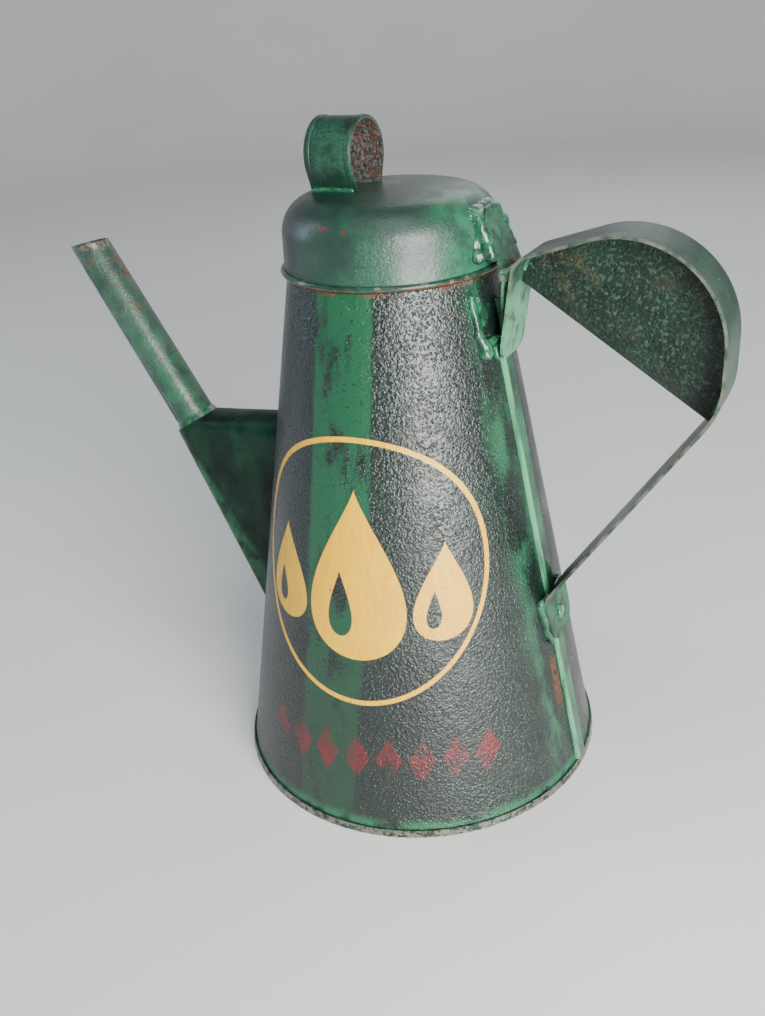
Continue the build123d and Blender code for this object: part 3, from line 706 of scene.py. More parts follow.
class OILCAN_OT_body(bpy.types.Operator):
    """Paints the body with its stripe, sign, wear and painted shade, and the folded seam with a painted
    highlight on its edge.
    """

    bl_idname = "oil_can.body"
    bl_label = "Body and seam"

    def execute(self, context):
        paint = context.scene.oil_can_paint
        sign = context.scene.oil_can_sign
        coat = Coat("body_varnish", paint.body_dark, paint.body_light, roughness=(0.36, 0.26))
        tree = coat.tree
        azimuth = coat.place["Azimuth"]
        height = coat.place["Height"]
        # Painted shade: the side away from the key light is darkened to blue-black, with a blue cast of
        # reflection.
        shaded = tree.between(azimuth, *SHADED_SIDE, radians(11))
        coat.layer(tree.times(shaded, 0.85), paint.shade_navy)
        rear = tree.between(azimuth, *REAR_SIDE, radians(25))
        clouds = coat.cloud(26 * MM, 0.50, 0.66, detail=6.0, along_z=0.5)
        coat.layer(tree.times(rear, clouds, 0.45), paint.thin_green, 0.34, 0.7)
        share = tree.math("DIVIDE", height, BODY_HEIGHT)
        right = tree.blend(share, sign.stripe_foot, sign.stripe_top, kind="FLOAT")
        wander = tree.times(tree.math("SUBTRACT", tree.noise(coat.at, 14 * MM), 0.5), radians(2.5))
        stripe = tree.between(tree.math("ADD", azimuth, wander), sign.stripe_left, right, radians(1.0))
        worn = coat.cloud(9 * MM, 0.66, 0.52, detail=6.0, along_z=0.4)
        specks = coat.cloud(1.6 * MM, 0.70, 0.62, detail=2.0)
        coat.layer(tree.times(stripe, worn, specks), paint.stripe, 0.36, 0.4)
        # Painted shade: the lower body on the spout's side, stripe included, darkens towards the base, where
        # the light falls off.
        spout_half = tree.rise(azimuth, *SPOUT_HALF)
        low_down = tree.rise(height, *SHADED_FOOT)
        coat.layer(tree.times(spout_half, low_down, 0.65), paint.body_dark, 0.42)
        near_seam = tree.between(coat.place["Across"], *SEAM_PATCH, 6 * MM)
        front = tree.rise(azimuth, *SEAM_FRONT)
        thin = coat.cloud(16 * MM, 0.46, 0.62, detail=5.0, along_z=0.35)
        coat.layer(tree.times(near_seam, front, thin, 0.75), paint.thin_green, 0.34, 0.5)
        foot = tree.times(tree.rise(height, *FOOT_GREEN), coat.cloud(11 * MM, 0.36, 0.56))
        coat.layer(tree.times(foot, 0.7), paint.thin_green, 0.34, 0.6)
        yellow, red = sign_masks(coat)
        fade = coat.cloud(13 * MM, 0.70, 0.36, detail=5.0)
        coat.layer(tree.times(red, fade, 0.85), sign.red, 0.40)
        brushed = tree.noise(tree.stretched(coat.at, along_z=0.12), 2.2 * MM, detail=4.0)
        gold = tree.blend(tree.rise(brushed, 0.30, 0.85), sign.yellow, sign.amber)
        chips = coat.cloud(1.9 * MM, 0.74, 0.70, detail=4.0)
        coat.layer(tree.times(yellow, chips), gold, 0.42, 0.45)
        under_lid = tree.rise(height, BODY_HEIGHT - 2.0 * MM, BODY_HEIGHT - 0.6 * MM)
        coat.rust(0.62, under_lid, size=7 * MM)
        scratch = tree.times(
            tree.between(azimuth, *SCRATCH_TURN, radians(0.5)),
            tree.between(height, *SCRATCH_HEIGHT, 2 * MM),
        )
        coat.rust(0.72, scratch, size=3 * MM)
        coat.rust(0.22, 1.0, size=6 * MM)
        body = coat.finish(coat=0.0, specular=0.7)
        paint_node("body_shell", body)

        coat = Coat("seam_paint", paint.lid_dark, paint.thin_green, roughness=(0.36, 0.26), relief=0.6)
        tree = coat.tree
        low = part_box("side_seam")[0].y
        # Painted highlight: a mint line in streaks along the seam's near fold.
        edge = tree.rise(coat.place["Across"], low + 3.4 * MM, low + 1.6 * MM)
        streaks = coat.cloud(5 * MM, 0.30, 0.55, detail=4.0, along_z=0.12)
        coat.layer(tree.times(edge, streaks), paint.mint, 0.24, 0.3)
        coat.rust(0.3, 1.0, size=5 * MM)
        paint_node("side_seam", coat.finish(coat=0.5, coat_roughness=0.12))
        return {"FINISHED"}


class OILCAN_OT_base_and_neck(bpy.types.Operator):
    """Paints the rolled rim, the underside and the bare collar inside the neck."""

    bl_idname = "oil_can.base_and_neck"
    bl_label = "Base and neck"

    def execute(self, context):
        paint = context.scene.oil_can_paint
        rim_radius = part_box("base_rim")[1].x
        coat = Coat("rim_paint", paint.body_dark, paint.lid_light, relief=0.8, patch_size=6 * MM)
        tree = coat.tree
        outer = tree.rise(coat.place["Radius"], rim_radius - 1.0 * MM, rim_radius - 0.3 * MM)
        worn = coat.cloud(2.6 * MM, 0.45, 0.56, detail=6.0, roughness=0.7)
        coat.bare(tree.times(outer, worn), paint.bare_metal)
        coat.rust(0.45, 1.0, size=2.5 * MM)
        paint_node("base_rim", coat.finish())

        coat = Coat("underside_paint", paint.body_dark, paint.strap_dark, roughness=(0.62, 0.5), relief=0.5)
        ring = coat.tree.rise(coat.place["Radius"], BASE_RADIUS - 9 * MM, BASE_RADIUS - 2 * MM)
        coat.rust(0.55, ring, size=6 * MM)
        coat.rust(0.4, 1.0, size=9 * MM)
        paint_node("base_plate", coat.finish(coat=0.1, coat_roughness=0.4))

        coat = Coat("collar_tin", TIN_DARK, TIN_LIGHT, roughness=(0.5, 0.34), relief=0.3)
        coat.metal = 0.8
        coat.rust(0.6, 1.0, size=5 * MM)
        paint_node("neck_collar", coat.finish(coat=0.0))
        return {"FINISHED"}


class OILCAN_OT_lid(bpy.types.Operator):
    """Paints the lid, with painted shade on its top and on its spout side, and its wired edge."""

    bl_idname = "oil_can.lid"
    bl_label = "Lid"

    def execute(self, context):
        paint = context.scene.oil_can_paint
        satin = (0.44, 0.34)
        coat = Coat("lid_paint", paint.lid_dark, paint.lid_light, satin, relief=0.25, pebble_size=0.9 * MM)
        tree = coat.tree
        azimuth = coat.place["Azimuth"]
        height = coat.place["Height"]
        rear = tree.between(azimuth, *LID_REAR, radians(12))
        outer = tree.rise(coat.place["Radius"], *LID_OUTER)
        thin = coat.cloud(9 * MM, 0.40, 0.60, detail=6.0)
        coat.layer(tree.times(rear, outer, thin, 0.85), paint.thin_green, 0.28, 0.8)
        # Painted shade: the outer lid on the spout's side is darkened to blue-black, with a blue cast of
        # reflection.
        past_front = tree.rise(azimuth, *LID_PAST_FRONT)
        before_back = tree.rise(azimuth, *LID_BEFORE_BACK)
        coat.layer(tree.times(past_front, before_back, outer, 0.6), paint.shade_navy)
        pits = coat.cloud(1.3 * MM, 0.70, 0.78, detail=3.0)
        wall = tree.rise(height, LID_TOP - 2 * MM, LID_TOP - 9 * MM)
        coat.layer(tree.times(pits, wall), DARK_PITS, 0.6)
        # Painted shade: the lid's top is darkened in patches, as it gets little light from above.
        top = tree.rise(height, LID_TOP - 9 * MM, LID_TOP - 3 * MM)
        dull = coat.cloud(12 * MM, 0.42, 0.62, detail=5.0, along_y=0.4)
        coat.layer(tree.times(top, dull, 0.7), paint.strap_dark, 0.42)
        for turn, level, wide in ((-99.5, 234.4, 3.4), (-86.0, 233.5, 1.6)):
            spot = tree.times(
                tree.between(azimuth, radians(turn - wide), radians(turn + wide), radians(0.8)),
                tree.between(height, (level - 0.6) * MM, (level + 0.6) * MM, 0.5 * MM),
            )
            coat.rust(0.85, spot, size=1.6 * MM, roughness=0.5)
        coat.rust(0.16, 1.0, size=5 * MM)
        paint_node("lid_shell", coat.finish(coat=0.15, coat_roughness=0.22, specular=0.6))

        coat = Coat("bead_paint", paint.lid_dark, paint.lid_light, relief=0.25, patch_size=8 * MM)
        tree = coat.tree
        bead_middle = sum(corner.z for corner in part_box("lid_bead")) / 2
        below = tree.rise(coat.place["Height"], bead_middle + 0.2 * MM, bead_middle - 0.5 * MM)
        coat.rust(0.72, below, size=9 * MM, roughness=0.5)
        worn = coat.cloud(6 * MM, 0.56, 0.64, detail=5.0)
        coat.bare(tree.times(worn, 0.7), paint.bare_metal, 0.3)
        paint_node("lid_bead", coat.finish(coat=0.5, coat_roughness=0.14))
        return {"FINISHED"}


FOOT_SHARE = 8.5 / 13.0


class OILCAN_OT_finger_loop(bpy.types.Operator):
    """Paints the finger loop, corroded inside, and folds a hem along both of its edges."""

    bl_idname = "oil_can.finger_loop"
    bl_label = "Finger loop"

    def execute(self, context):
        paint = context.scene.oil_can_paint
        solder = context.scene.oil_can_solder
        low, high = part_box("lid_loop")
        radius = (high.y - low.y) / 2
        centre = high.z - radius
        coat = Coat("loop_metal", paint.strap_dark, paint.lid_light, relief=0.5, patch_size=9 * MM)
        tree = coat.tree
        parts = coat.axes()
        up = tree.math("SUBTRACT", parts["Z"], centre)
        reach = tree.distance(parts["Y"], up)
        inside_arc = tree.rise(reach, radius - 0.4 * MM, radius - 0.7 * MM)
        wall = tree.math("ADD", tree.times(up, LOOP_WALL_SLOPE), LOOP_WALL_FOOT)
        within = tree.math("SUBTRACT", wall, 0.3 * MM)
        inside_foot = tree.rise(tree.math("ABSOLUTE", parts["Y"]), wall, within)
        below = tree.rise(up, -0.4 * radius, -0.5 * radius)
        inside = tree.blend(below, inside_arc, inside_foot, kind="FLOAT")
        crust = coat.cloud(1.1 * MM, 0.36, 0.62, detail=4.0, roughness=0.7)
        corroded = tree.blend(crust, CRUST_DARK, CRUST_PALE)
        coat.layer(inside, corroded, 0.7, 3.0)
        coat.rust(0.55, inside, size=4 * MM)
        coat.rust(0.25, 1.0, size=4 * MM)
        loop = coat.finish(coat=0.15, coat_roughness=0.3)
        paint_node("lid_loop", loop)

        foot_y = radius * FOOT_SHARE
        drop = centre - LID_TOP
        distance = hypot(foot_y, drop)
        tangent_turn = acos(radius / distance)
        start_turn = atan2(-drop, foot_y) + tangent_turn
        lift = radius - 0.05 * MM
        steps = 48
        arc = [start_turn + (pi - 2 * start_turn) * step / steps for step in range(steps + 1)]
        outline = [(foot_y, LID_TOP)]
        outline += [(lift * cos(turn), centre + lift * sin(turn)) for turn in arc]
        outline.append((-foot_y, LID_TOP))
        inset = solder.hem_width / 2
        paths = [[(x, y, z) for y, z in outline] for x in (low.x + inset, high.x - inset)]
        size = (solder.hem_width, solder.hem_thickness)
        mesh = swept_bead("loop_hems", paths, loop, *size, ripple=0.15 * MM, seed=solder.seed)
        new_piece("loop_hems", mesh, loop, "lid")
        return {"FINISHED"}


class OILCAN_OT_spout(bpy.types.Operator):
    """Paints the spout and its socket, with painted shade and a painted highlight on the socket, and laps the
    tube's seam.
    """

    bl_idname = "oil_can.spout"
    bl_label = "Spout"

    def execute(self, context):
        paint = context.scene.oil_can_paint
        solder = context.scene.oil_can_solder
        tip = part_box("spout_tube")[1].z
        satin = (0.46, 0.36)
        coat = Coat("spout_paint", paint.spout_dark, paint.spout_light, satin, relief=0.4, patch_size=12 * MM)
        tree = coat.tree
        parts = coat.axes()
        height = parts["Z"]
        upper = tree.math("ADD", parts["X"], tree.times(height, 1.0 / tan(SPOUT_TILT)))
        ridge = tree.rise(upper, *TUBE_RIDGE)
        green = tree.times(tree.rise(height, *TUBE_GREEN), coat.cloud(10 * MM, 0.42, 0.6))
        coat.layer(tree.times(green, 0.5), paint.thin_green, 0.32)
        coat.rust(0.50, ridge, size=6 * MM, roughness=0.55)
        coat.rust(0.55, tree.rise(height, tip - 26 * MM, tip - 2 * MM), size=5 * MM, roughness=0.55)
        end = tree.rise(height, tip - 4.5 * MM, tip - 0.5 * MM)
        coat.bare(tree.times(end, coat.cloud(2 * MM, 0.46, 0.56, detail=5.0)), paint.bare_metal)
        tube = coat.finish(coat=0.2, coat_roughness=0.2, specular=0.5)
        paint_node("spout_tube", tube)

        coat = Coat("socket_paint", paint.body_dark, paint.lid_dark, roughness=(0.45, 0.34), relief=0.35)
        tree = coat.tree
        parts = coat.axes()
        cloudy = coat.cloud(15 * MM, 0.46, 0.66, detail=5.0, along_z=0.4)
        coat.layer(tree.times(cloudy, 0.16), paint.thin_green)
        # Painted shade: the socket's top is darkened to blue-black, with a blue cast of reflection.
        coat.layer(tree.times(tree.rise(parts["Z"], *SOCKET_TOP), 0.6), paint.shade_navy)
        # Painted highlight: mint in patches along the socket's rounded front fold.
        fold = tree.math("ADD", parts["X"], tree.times(parts["Z"], 1.0 / tan(SOCKET_TILT)))
        rubbed = tree.times(tree.rise(fold, *SOCKET_FOLD), coat.cloud(8 * MM, 0.35, 0.6))
        coat.layer(tree.times(rubbed, 0.22), paint.mint, 0.3)
        coat.rust(0.28, 1.0, size=5 * MM)
        paint_node("spout_socket", coat.finish(coat=0.06, coat_roughness=0.22, specular=0.15))

        mesh = self.lap_mesh(solder)
        new_piece("spout_lap", mesh, tube, "can")
        return {"FINISHED"}

    def lap_mesh(self, solder):
        """A thin strip along the underside of the tube, where its sheet is lapped and soldered."""
        along = Vector((-cos(SPOUT_TILT), 0.0, sin(SPOUT_TILT)))
        side = Vector((0.0, 1.0, 0.0))
        under = along.cross(side)
        if under.z > 0:
            under = -under
        foot = Vector((-105.5 * MM, 0.0, 136.5 * MM))
        base_radius = 8.8 * MM
        end_radius = 7.95 * MM
        length = 82 * MM
        lead = 3 * MM
        sink = 0.25 * MM
        turn_middle = radians(118)
        rows = 60
        columns = 8
        mesh = bmesh.new()
        grid = []
        for layer in (0, 1):
            lines = []
            for row in range(rows + 1):
                share = row / rows
                centre = foot + along * (lead + (length - lead) * share)
                radius = base_radius + (end_radius - base_radius) * share
                wave = 0.12 * MM * noise.noise(centre * 260.0)
                line = []
                for column in range(columns + 1):
                    over = column / columns
                    turn = turn_middle + (over - 0.5) * solder.lap_width / radius
                    across = 2.0 * over - 1.0
                    crown = solder.lap_thickness * (1.0 - across ** 4) + wave * (1.0 - abs(across))
                    reach = radius - sink + (sink + crown) * layer
                    line.append(mesh.verts.new(centre + (side * -sin(turn) + under * -cos(turn)) * reach))
                lines.append(line)
            grid.append(lines)
        for lines in grid:
            for line, after in zip(lines, lines[1:]):
                for column in range(columns):
                    mesh.faces.new((line[column], line[column + 1], after[column + 1], after[column]))
        below, above = grid
        for row in range(rows):
            for column in (0, columns):
                corners = (below[row], below[row + 1], above[row + 1], above[row])
                mesh.faces.new([line[column] for line in corners])
        for row in (0, rows):
            low, high = below[row], above[row]
            for column in range(columns):
                mesh.faces.new((low[column], low[column + 1], high[column + 1], high[column]))
        bmesh.ops.recalc_face_normals(mesh, faces=mesh.faces)
        strip = bpy.data.meshes.new("spout_lap")
        mesh.to_mesh(strip)
        mesh.free()
        return strip


class OILCAN_OT_handle(bpy.types.Operator):
    """Paints the handle strap and its web plate, and runs solder along the plate."""

    bl_idname = "oil_can.handle"
    bl_label = "Handle"

    def execute(self, context):
        paint = context.scene.oil_can_paint
        solder = context.scene.oil_can_solder
        half_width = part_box("handle_strap")[1].y
        coat = Coat("strap_paint", paint.strap_dark, paint.strap_light, roughness=(0.46, 0.36), relief=0.22)
        tree = coat.tree
        parts = coat.axes()
        away = tree.math("ABSOLUTE", parts["Y"])
        edge = tree.rise(away, half_width - 0.7 * MM, half_width - 0.05 * MM)
        pale = coat.cloud(5 * MM, 0.35, 0.6, detail=5.0)
        coat.layer(tree.times(edge, pale), WORN_EDGE, 0.42)
        coat.rust(0.42, edge, size=4 * MM, roughness=0.6)
        tab = tree.times(tree.rise(parts["X"], *TOP_TAB_OUT), tree.rise(parts["Z"], *TOP_TAB_HEIGHT))
        coat.layer(tree.times(tab, coat.cloud(7 * MM, 0.3, 0.55), 0.7), paint.mint, 0.36)
        foot = tree.rise(parts["Z"], *FOOT_TAB_HEIGHT)
        coat.layer(tree.times(foot, coat.cloud(5 * MM, 0.4, 0.6), 0.6), paint.thin_green, 0.3, 1.5)
        coat.rust(0.22, 1.0, size=7 * MM)
        paint_node("handle_strap", coat.finish(coat=0.08, coat_roughness=0.3))
        paint_node("hinge_leaf", coat.material)

        dull = (0.5, 0.38)
        coat = Coat("web_paint", paint.body_dark, paint.strap_dark, dull, relief=0.8, patch_size=18 * MM)
        tree = coat.tree
        parts = coat.axes()
        grains = coat.cloud(1.4 * MM, 0.52, 0.66, detail=3.0)
        coat.layer(tree.times(grains, 0.55), WEB_GRAINS, 0.40)
        brown = coat.cloud(16 * MM, 0.50, 0.70, detail=6.0, roughness=0.65)
        coat.layer(tree.times(brown, 0.55), WEB_BROWN, 0.5)
        across = tree.math("ADD", parts["Z"], tree.times(parts["X"], WEB_SLOPE))
        near_chord = tree.rise(across, *WEB_CHORD)
        coat.layer(tree.times(near_chord, 0.6), WEB_SHADE)
        coat.rust(0.24, 1.0, size=4 * MM)
        paint_node("handle_web", coat.finish(coat=0.15, coat_roughness=0.25))

        self.web_fillets(paint, solder)
        return {"FINISHED"}

    def web_fillets(self, paint, solder):
        """Thin runs of solder in both corners between the web plate and the strap."""
        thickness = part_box("handle_web")[1].y
        rim = [v.co for v in NODES["handle_web"].data.vertices if v.co.y > thickness - 0.01 * MM]
        unique = {(round(p.x, 6), round(p.z, 6)) for p in rim}
        middle_x = sum(x for x, z in unique) / len(unique)
        middle_z = sum(z for x, z in unique) / len(unique)
        low_end = min(unique, key=lambda p: p[1])
        high_end = min(unique, key=lambda p: p[0])

        def from_chord(point):
            """Distance of a point above the plate's straight edge."""
            run = Vector((low_end[0] - high_end[0], low_end[1] - high_end[1]))
            step = Vector((point[0] - high_end[0], point[1] - high_end[1]))
            return run.cross(step) / run.length

        arc = sorted(
            (p for p in unique if from_chord(p) > MM),
            key=lambda p: -atan2(p[1] - middle_z, p[0] - middle_x),
        )
        paths = []
        for side in (-1.0, 1.0):
            gap = side * (thickness + 0.3 * MM)
            paths.append([(x + (middle_x - x) * 0.008, gap, z + (middle_z - z) * 0.008) for x, z in arc])
        material = solder_paint()
        width = 2 * solder.fillet_radius
        ripples = {"ripple": 1.1 * MM, "seed": solder.seed + 3.0}
        mesh = swept_bead("web_fillets", paths, material, width, width, **ripples)
        new_piece("web_fillets", mesh, material, "can")


def solder_paint():
    """Bright glossy green paint over lumpy solder, with a painted highlight on its upper faces, made once."""
    paint = bpy.context.scene.oil_can_paint
    known = bpy.data.materials.get("solder_paint_green")
    if known:
        return known
    glossy = (0.30, 0.18)
    sizes = {"patch_size": 7 * MM, "pebble_size": 0.8 * MM}
    coat = Coat("solder_paint_green", paint.lid_dark, paint.thin_green, glossy, relief=0.3, **sizes)
    tree = coat.tree
    # Painted highlight: mint in patches on the faces that point up, where light from above falls.
    facing = tree.add("ShaderNodeNewGeometry").outputs["Normal"]
    parts = tree.add("ShaderNodeSeparateXYZ", {0: facing}).outputs
    ridge = tree.times(tree.rise(parts["Z"], 0.0, 0.7), coat.cloud(3 * MM, 0.45, 0.62, detail=4.0))
    coat.layer(tree.times(ridge, 0.25), paint.mint, 0.2)
    coat.rust(0.3, 1.0, size=3 * MM)
    return coat.finish(coat=0.8, coat_roughness=0.08)


class OILCAN_OT_solder(bpy.types.Operator):
    """Makes the lumpy solder at the tabs, the hinge and the finger loop."""

    bl_idname = "oil_can.solder"
    bl_label = "Solder"

    def execute(self, context):
        material = solder_paint()
        for node in ("socket_solder", "spout_solder"):
            paint_node(node, material)
        strap_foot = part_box("foot_tab_solder")
        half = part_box("hinge_flap")[1].y

        lumps = []
        for side in (-1.0, 1.0):
            edge = side * (half + 0.2 * MM)
            inner_foot = Vector((43.4 * MM, edge, 221.0 * MM))
            inner_head = Vector((38.6 * MM, 0.92 * edge, 233.4 * MM))
            outer_foot = Vector((39.8 * MM, 1.2 * edge, 219.5 * MM))
            outer_head = Vector((35.4 * MM, edge, 234.5 * MM))
            lumps += run_of_lumps(inner_foot, inner_head, 2.4 * MM, 0.5 * MM)
            lumps += run_of_lumps(outer_foot, outer_head, 2.2 * MM, MM)
        near_corner = Vector((36.2 * MM, -0.7 * half, 234.8 * MM))
        far_corner = Vector((36.2 * MM, 0.7 * half, 234.8 * MM))
        lumps += run_of_lumps(near_corner, far_corner, 2.6 * MM, 0.5 * MM)
        self.place("flap_solder", lumps, material, "lid")

        head, bend = on_wall(-21.5, 207.5 * MM, 0.3 * MM), on_wall(-20.0, 194 * MM)
        drip = on_wall(-18.0, 188.0 * MM, 0.8 * MM)
        lumps = run_of_lumps(head, bend, 1.6 * MM, 0.7 * MM)
        lumps += run_of_lumps(on_wall(-16.5, 206 * MM), on_wall(-17.0, 197 * MM), 1.3 * MM, 0.7 * MM)
        lumps += run_of_lumps(bend, drip, 2.4 * MM, 0.4 * MM)
        lumps.append((on_wall(-18.6, 186.8 * MM, 0.8 * MM), (3.1 * MM, 2.8 * MM, 2.6 * MM)))
        near_end, seam_end = on_wall(-16.0, 189.5 * MM), on_wall(-5.0, 189.5 * MM, 0.6 * MM)
        lumps += run_of_lumps(near_end, seam_end, 1.7 * MM, 0.5 * MM)
        far_head, far_foot = on_wall(14.0, 204 * MM), on_wall(8.0, 190 * MM, 0.4 * MM)
        lumps += run_of_lumps(far_head, far_foot, 1.9 * MM, 0.7 * MM)
        self.place("leaf_solder", lumps, material, "can")

        near_end, far_end = (on_wall(turn, 185 * MM, 0.3 * MM) for turn in (-9.0, 9.5))
        self.place("top_tab_solder", run_of_lumps(near_end, far_end, 1.5 * MM, 0.5 * MM), material, "can")

        lumps = []
        for side in (-1.0, 1.0):
            head = on_wall(side * 10.0, strap_foot[1].z - 2 * MM, 0.4 * MM)
            foot = on_wall(side * 8.0, strap_foot[0].z + 4 * MM, 0.4 * MM)
            lumps += run_of_lumps(head, foot, 1.9 * MM, 0.6 * MM)
        self.place("foot_tab_solder", lumps, material, "can")

        for node in ("loop_solder_near", "loop_solder_far"):
            low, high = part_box(node)
            middle_y = (low.y + high.y) / 2
            start = Vector((low.x + 0.5 * MM, middle_y, low.z + 0.9 * MM))
            end = Vector((high.x - 0.5 * MM, middle_y, low.z + 0.9 * MM))
            lumps = run_of_lumps(start, end, 1.2 * MM, 0.35 * MM)
            self.place(node, lumps, material, "lid", clear_of_can=False)
        return {"FINISHED"}

    def place(self, node, lumps, material, body, clear_of_can=True):
        """Puts lumpy solder in the place of one CAD solder node."""
        mesh = solder_mesh(f"{node}_run", lumps, node, clear_of_can)
        piece = new_piece(f"{node}_run", mesh, material, body)
        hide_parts(node)


class OILCAN_OT_hinge(bpy.types.Operator):
    """Paints the flap and the bare wire pin and rivet."""

    bl_idname = "oil_can.hinge"
    bl_label = "Hinge and rivet"

    def execute(self, context):
        paint = context.scene.oil_can_paint
        glossy = (0.32, 0.20)
        coat = Coat("flap_paint", paint.lid_dark, paint.thin_green, glossy, relief=0.6, patch_size=8 * MM)
        tree = coat.tree
        above = tree.math("SUBTRACT", coat.place["Height"], HINGE.z)
        knuckle = tree.rise(above, *KNUCKLE_RUST)
        coat.rust(0.6, knuckle, size=3 * MM)
        paint_node("hinge_flap", coat.finish(coat=0.8, coat_roughness=0.12))

        coat = Coat("wire_steel", STEEL_DARK, STEEL_LIGHT, roughness=(0.36, 0.22), relief=0.2)
        coat.metal = 0.9
        coat.rust(0.45, 1.0, size=2 * MM)
        paint_node("hinge_pin", coat.finish(coat=0.0))

        rubbed = (0.34, 0.22)
        coat = Coat("rivet_paint", paint.lid_dark, paint.mint, rubbed, relief=0.6, patch_size=3 * MM)
        coat.rust(0.4, 1.0, size=1.6 * MM)
        paint_node("foot_rivet", coat.finish(coat=0.7, coat_roughness=0.14))
        return {"FINISHED"}


SWEEP_STEPS = 12
FLOOR_STEPS = 96
AIR_COLOUR = (0.80, 0.86, 0.92, 1.0)
AIR_STRENGTH = 0.18
SKY_ENERGY = 0.6
SKY_SPREAD = radians(50)
SKY_LEAN = (radians(28), radians(14), 0.0)
SENSOR_WIDTH = 36.0


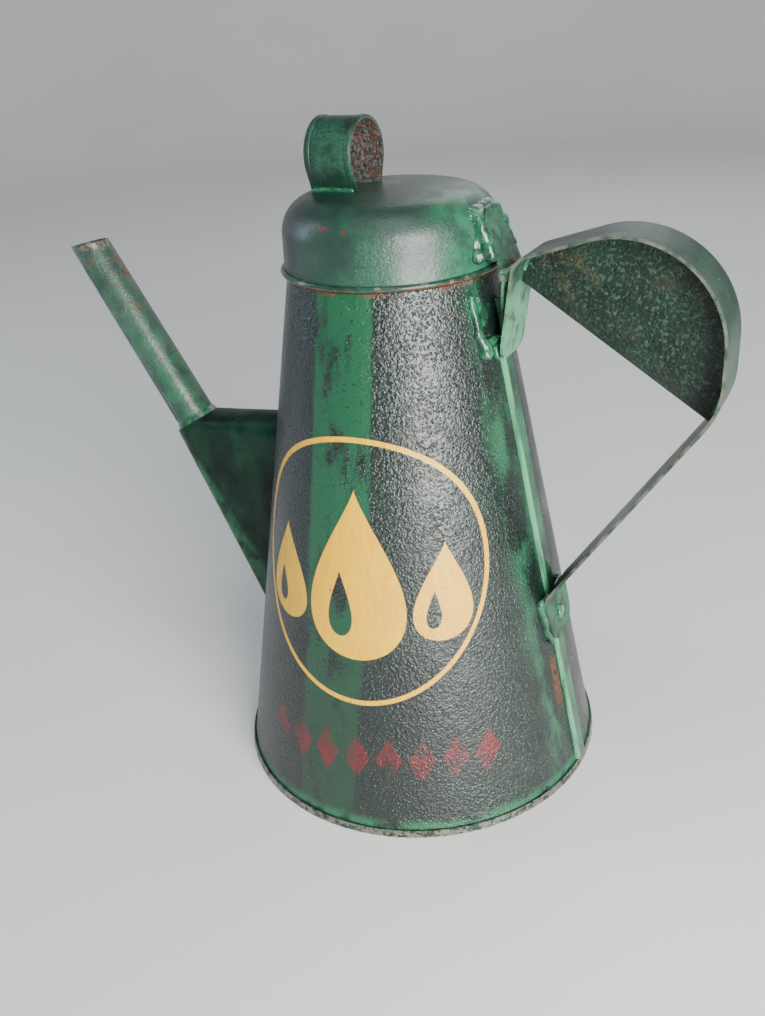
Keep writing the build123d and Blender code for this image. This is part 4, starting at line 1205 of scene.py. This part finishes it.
class OILCAN_OT_stage(bpy.types.Operator):
    """Sets up the pale floor and backdrop, the soft lights and the camera."""

    bl_idname = "oil_can.stage"
    bl_label = "Stage"

    def execute(self, context):
        stage = context.scene.oil_can_stage
        self.floor(stage)
        self.lights()
        self.camera(context, stage)
        world = bpy.data.worlds.new("studio_air")
        world.use_nodes = True
        air = world.node_tree.nodes["Background"].inputs
        air["Color"].default_value = AIR_COLOUR
        air["Strength"].default_value = AIR_STRENGTH
        context.scene.world = world
        return {"FINISHED"}

    def floor(self, stage):
        """A round floor that sweeps up to a low backdrop all the way round."""
        profile = [(0.0, 0.0), (stage.floor_radius, 0.0)]
        for step in range(1, SWEEP_STEPS + 1):
            turn = pi / 2 * step / SWEEP_STEPS
            out = stage.floor_radius + stage.sweep_radius * sin(turn)
            profile.append((out, stage.sweep_radius * (1.0 - cos(turn))))
        profile.append((stage.floor_radius + stage.sweep_radius, stage.wall_height))
        mesh = bmesh.new()
        chain = [mesh.verts.new((x, 0.0, z)) for x, z in profile]
        edges = [mesh.edges.new(pair) for pair in zip(chain, chain[1:])]
        around = {"cent": (0, 0, 0), "axis": (0, 0, 1), "angle": 2 * pi, "steps": FLOOR_STEPS}
        bmesh.ops.spin(mesh, geom=chain + edges, use_merge=True, **around)
        bmesh.ops.remove_doubles(mesh, verts=mesh.verts, dist=1e-5)
        bmesh.ops.recalc_face_normals(mesh, faces=mesh.faces)
        data = bpy.data.meshes.new("studio_floor")
        mesh.to_mesh(data)
        mesh.free()
        for face in data.polygons:
            face.use_smooth = True
        floor = bpy.data.objects.new("studio_floor", data)
        bpy.context.scene.collection.objects.link(floor)
        material = bpy.data.materials.new("pale_floor")
        material.use_nodes = True
        tree = Tree(material.node_tree)
        shader = material.node_tree.nodes["Principled BSDF"]
        at = tree.add("ShaderNodeTexCoord").outputs["Object"]
        shade = tree.rise(tree.noise(at, 0.4, detail=3.0), 0.3, 0.7)
        darker = tuple(0.95 * channel for channel in stage.floor)
        tree.put(shader.inputs["Base Color"], tree.blend(shade, darker, tuple(stage.floor)))
        shader.inputs["Roughness"].default_value = 0.7
        data.materials.append(material)

    def lights(self):
        """Soft boxes: a tall key from the right, a cool one behind on the left, one above and one behind."""
        aim = Vector((0.0, 0.0, 0.12))
        for name, azimuth, elevation, distance, width, tall, power, colour in (
            ("key", -38, 12, 0.8, 0.48, 0.62, 19.0, (1.0, 0.98, 0.95)),
            ("cool_side", -165, 24, 1.1, 0.22, 0.70, 3.0, (0.62, 0.82, 1.0)),
            ("above", -48, 70, 1.1, 0.50, 0.50, 1.5, (1.0, 1.0, 1.0)),
            ("rear", 95, 36, 1.3, 0.80, 0.80, 3.0, (0.95, 0.97, 1.0)),
        ):
            light = bpy.data.lights.new(name, "AREA")
            light.shape = "RECTANGLE"
            light.size = width
            light.size_y = tall
            light.energy = power
            light.color = colour
            lamp = bpy.data.objects.new(name, light)
            lamp.visible_camera = False
            turn, rise = radians(azimuth), radians(elevation)
            direction = Vector((cos(rise) * cos(turn), cos(rise) * sin(turn), sin(rise)))
            lamp.location = aim + direction * distance
            lamp.rotation_euler = direction.to_track_quat("Z", "Y").to_euler()
            bpy.context.scene.collection.objects.link(lamp)
        sun = bpy.data.lights.new("skylight", "SUN")
        sun.energy = SKY_ENERGY
        sun.angle = SKY_SPREAD
        lamp = bpy.data.objects.new("skylight", sun)
        lamp.rotation_euler = SKY_LEAN
        bpy.context.scene.collection.objects.link(lamp)

    def camera(self, context, stage):
        """The camera, turned by its heading, pitch and roll."""
        turn, pitch, roll = stage.camera_turn, stage.camera_pitch, stage.camera_roll
        ahead = Vector((-sin(turn) * cos(pitch), cos(turn) * cos(pitch), -sin(pitch)))
        level = ahead.cross(Vector((0.0, 0.0, 1.0))).normalized()
        upward = level.cross(ahead)
        right = level * cos(roll) + upward * sin(roll)
        up = upward * cos(roll) - level * sin(roll)
        data = bpy.data.cameras.new("studio_camera")
        data.lens = stage.camera_lens
        data.sensor_width = SENSOR_WIDTH
        data.sensor_fit = "AUTO"
        camera = bpy.data.objects.new("studio_camera", data)
        axes = Matrix((right, up, -ahead)).transposed()
        camera.matrix_world = Matrix.Translation(stage.camera_place) @ axes.to_4x4()
        context.scene.collection.objects.link(camera)
        context.scene.camera = camera


class OILCAN_PT_sidebar(bpy.types.Panel):
    """Lists the steps and the settings."""

    bl_idname = "OILCAN_PT_sidebar"
    bl_label = "Oil can"
    bl_space_type = "VIEW_3D"
    bl_region_type = "UI"
    bl_category = "Oil can"

    def draw(self, context):
        layout = self.layout
        for operator in OPERATORS:
            layout.operator(operator.bl_idname)
        for label, settings in SETTINGS.items():
            box = layout.box()
            box.label(text=label)
            group = getattr(context.scene, f"oil_can_{label.lower()}")
            for name in settings.__annotations__:
                box.prop(group, name)


SETTINGS = {"Paint": PaintSettings, "Sign": SignSettings, "Solder": SolderSettings, "Stage": StageSettings}
OPERATORS = (
    OILCAN_OT_body,
    OILCAN_OT_base_and_neck,
    OILCAN_OT_lid,
    OILCAN_OT_finger_loop,
    OILCAN_OT_spout,
    OILCAN_OT_handle,
    OILCAN_OT_hinge,
    OILCAN_OT_solder,
    OILCAN_OT_stage,
)


def register():
    """Registers the settings, the operators and the panel."""
    for label, settings in SETTINGS.items():
        bpy.utils.register_class(settings)
        setattr(bpy.types.Scene, f"oil_can_{label.lower()}", PointerProperty(type=settings))
    for operator in OPERATORS:
        bpy.utils.register_class(operator)
    bpy.utils.register_class(OILCAN_PT_sidebar)


def unregister():
    """Takes everything out again."""
    bpy.utils.unregister_class(OILCAN_PT_sidebar)
    for operator in reversed(OPERATORS):
        bpy.utils.unregister_class(operator)
    for label, settings in SETTINGS.items():
        delattr(bpy.types.Scene, f"oil_can_{label.lower()}")
        bpy.utils.unregister_class(settings)


def main():
    """Runs every step in order."""
    register()
    for operator in OPERATORS:
        group, name = operator.bl_idname.split(".")
        getattr(getattr(bpy.ops, group), name)()


if __name__ == "__main__":
    main()
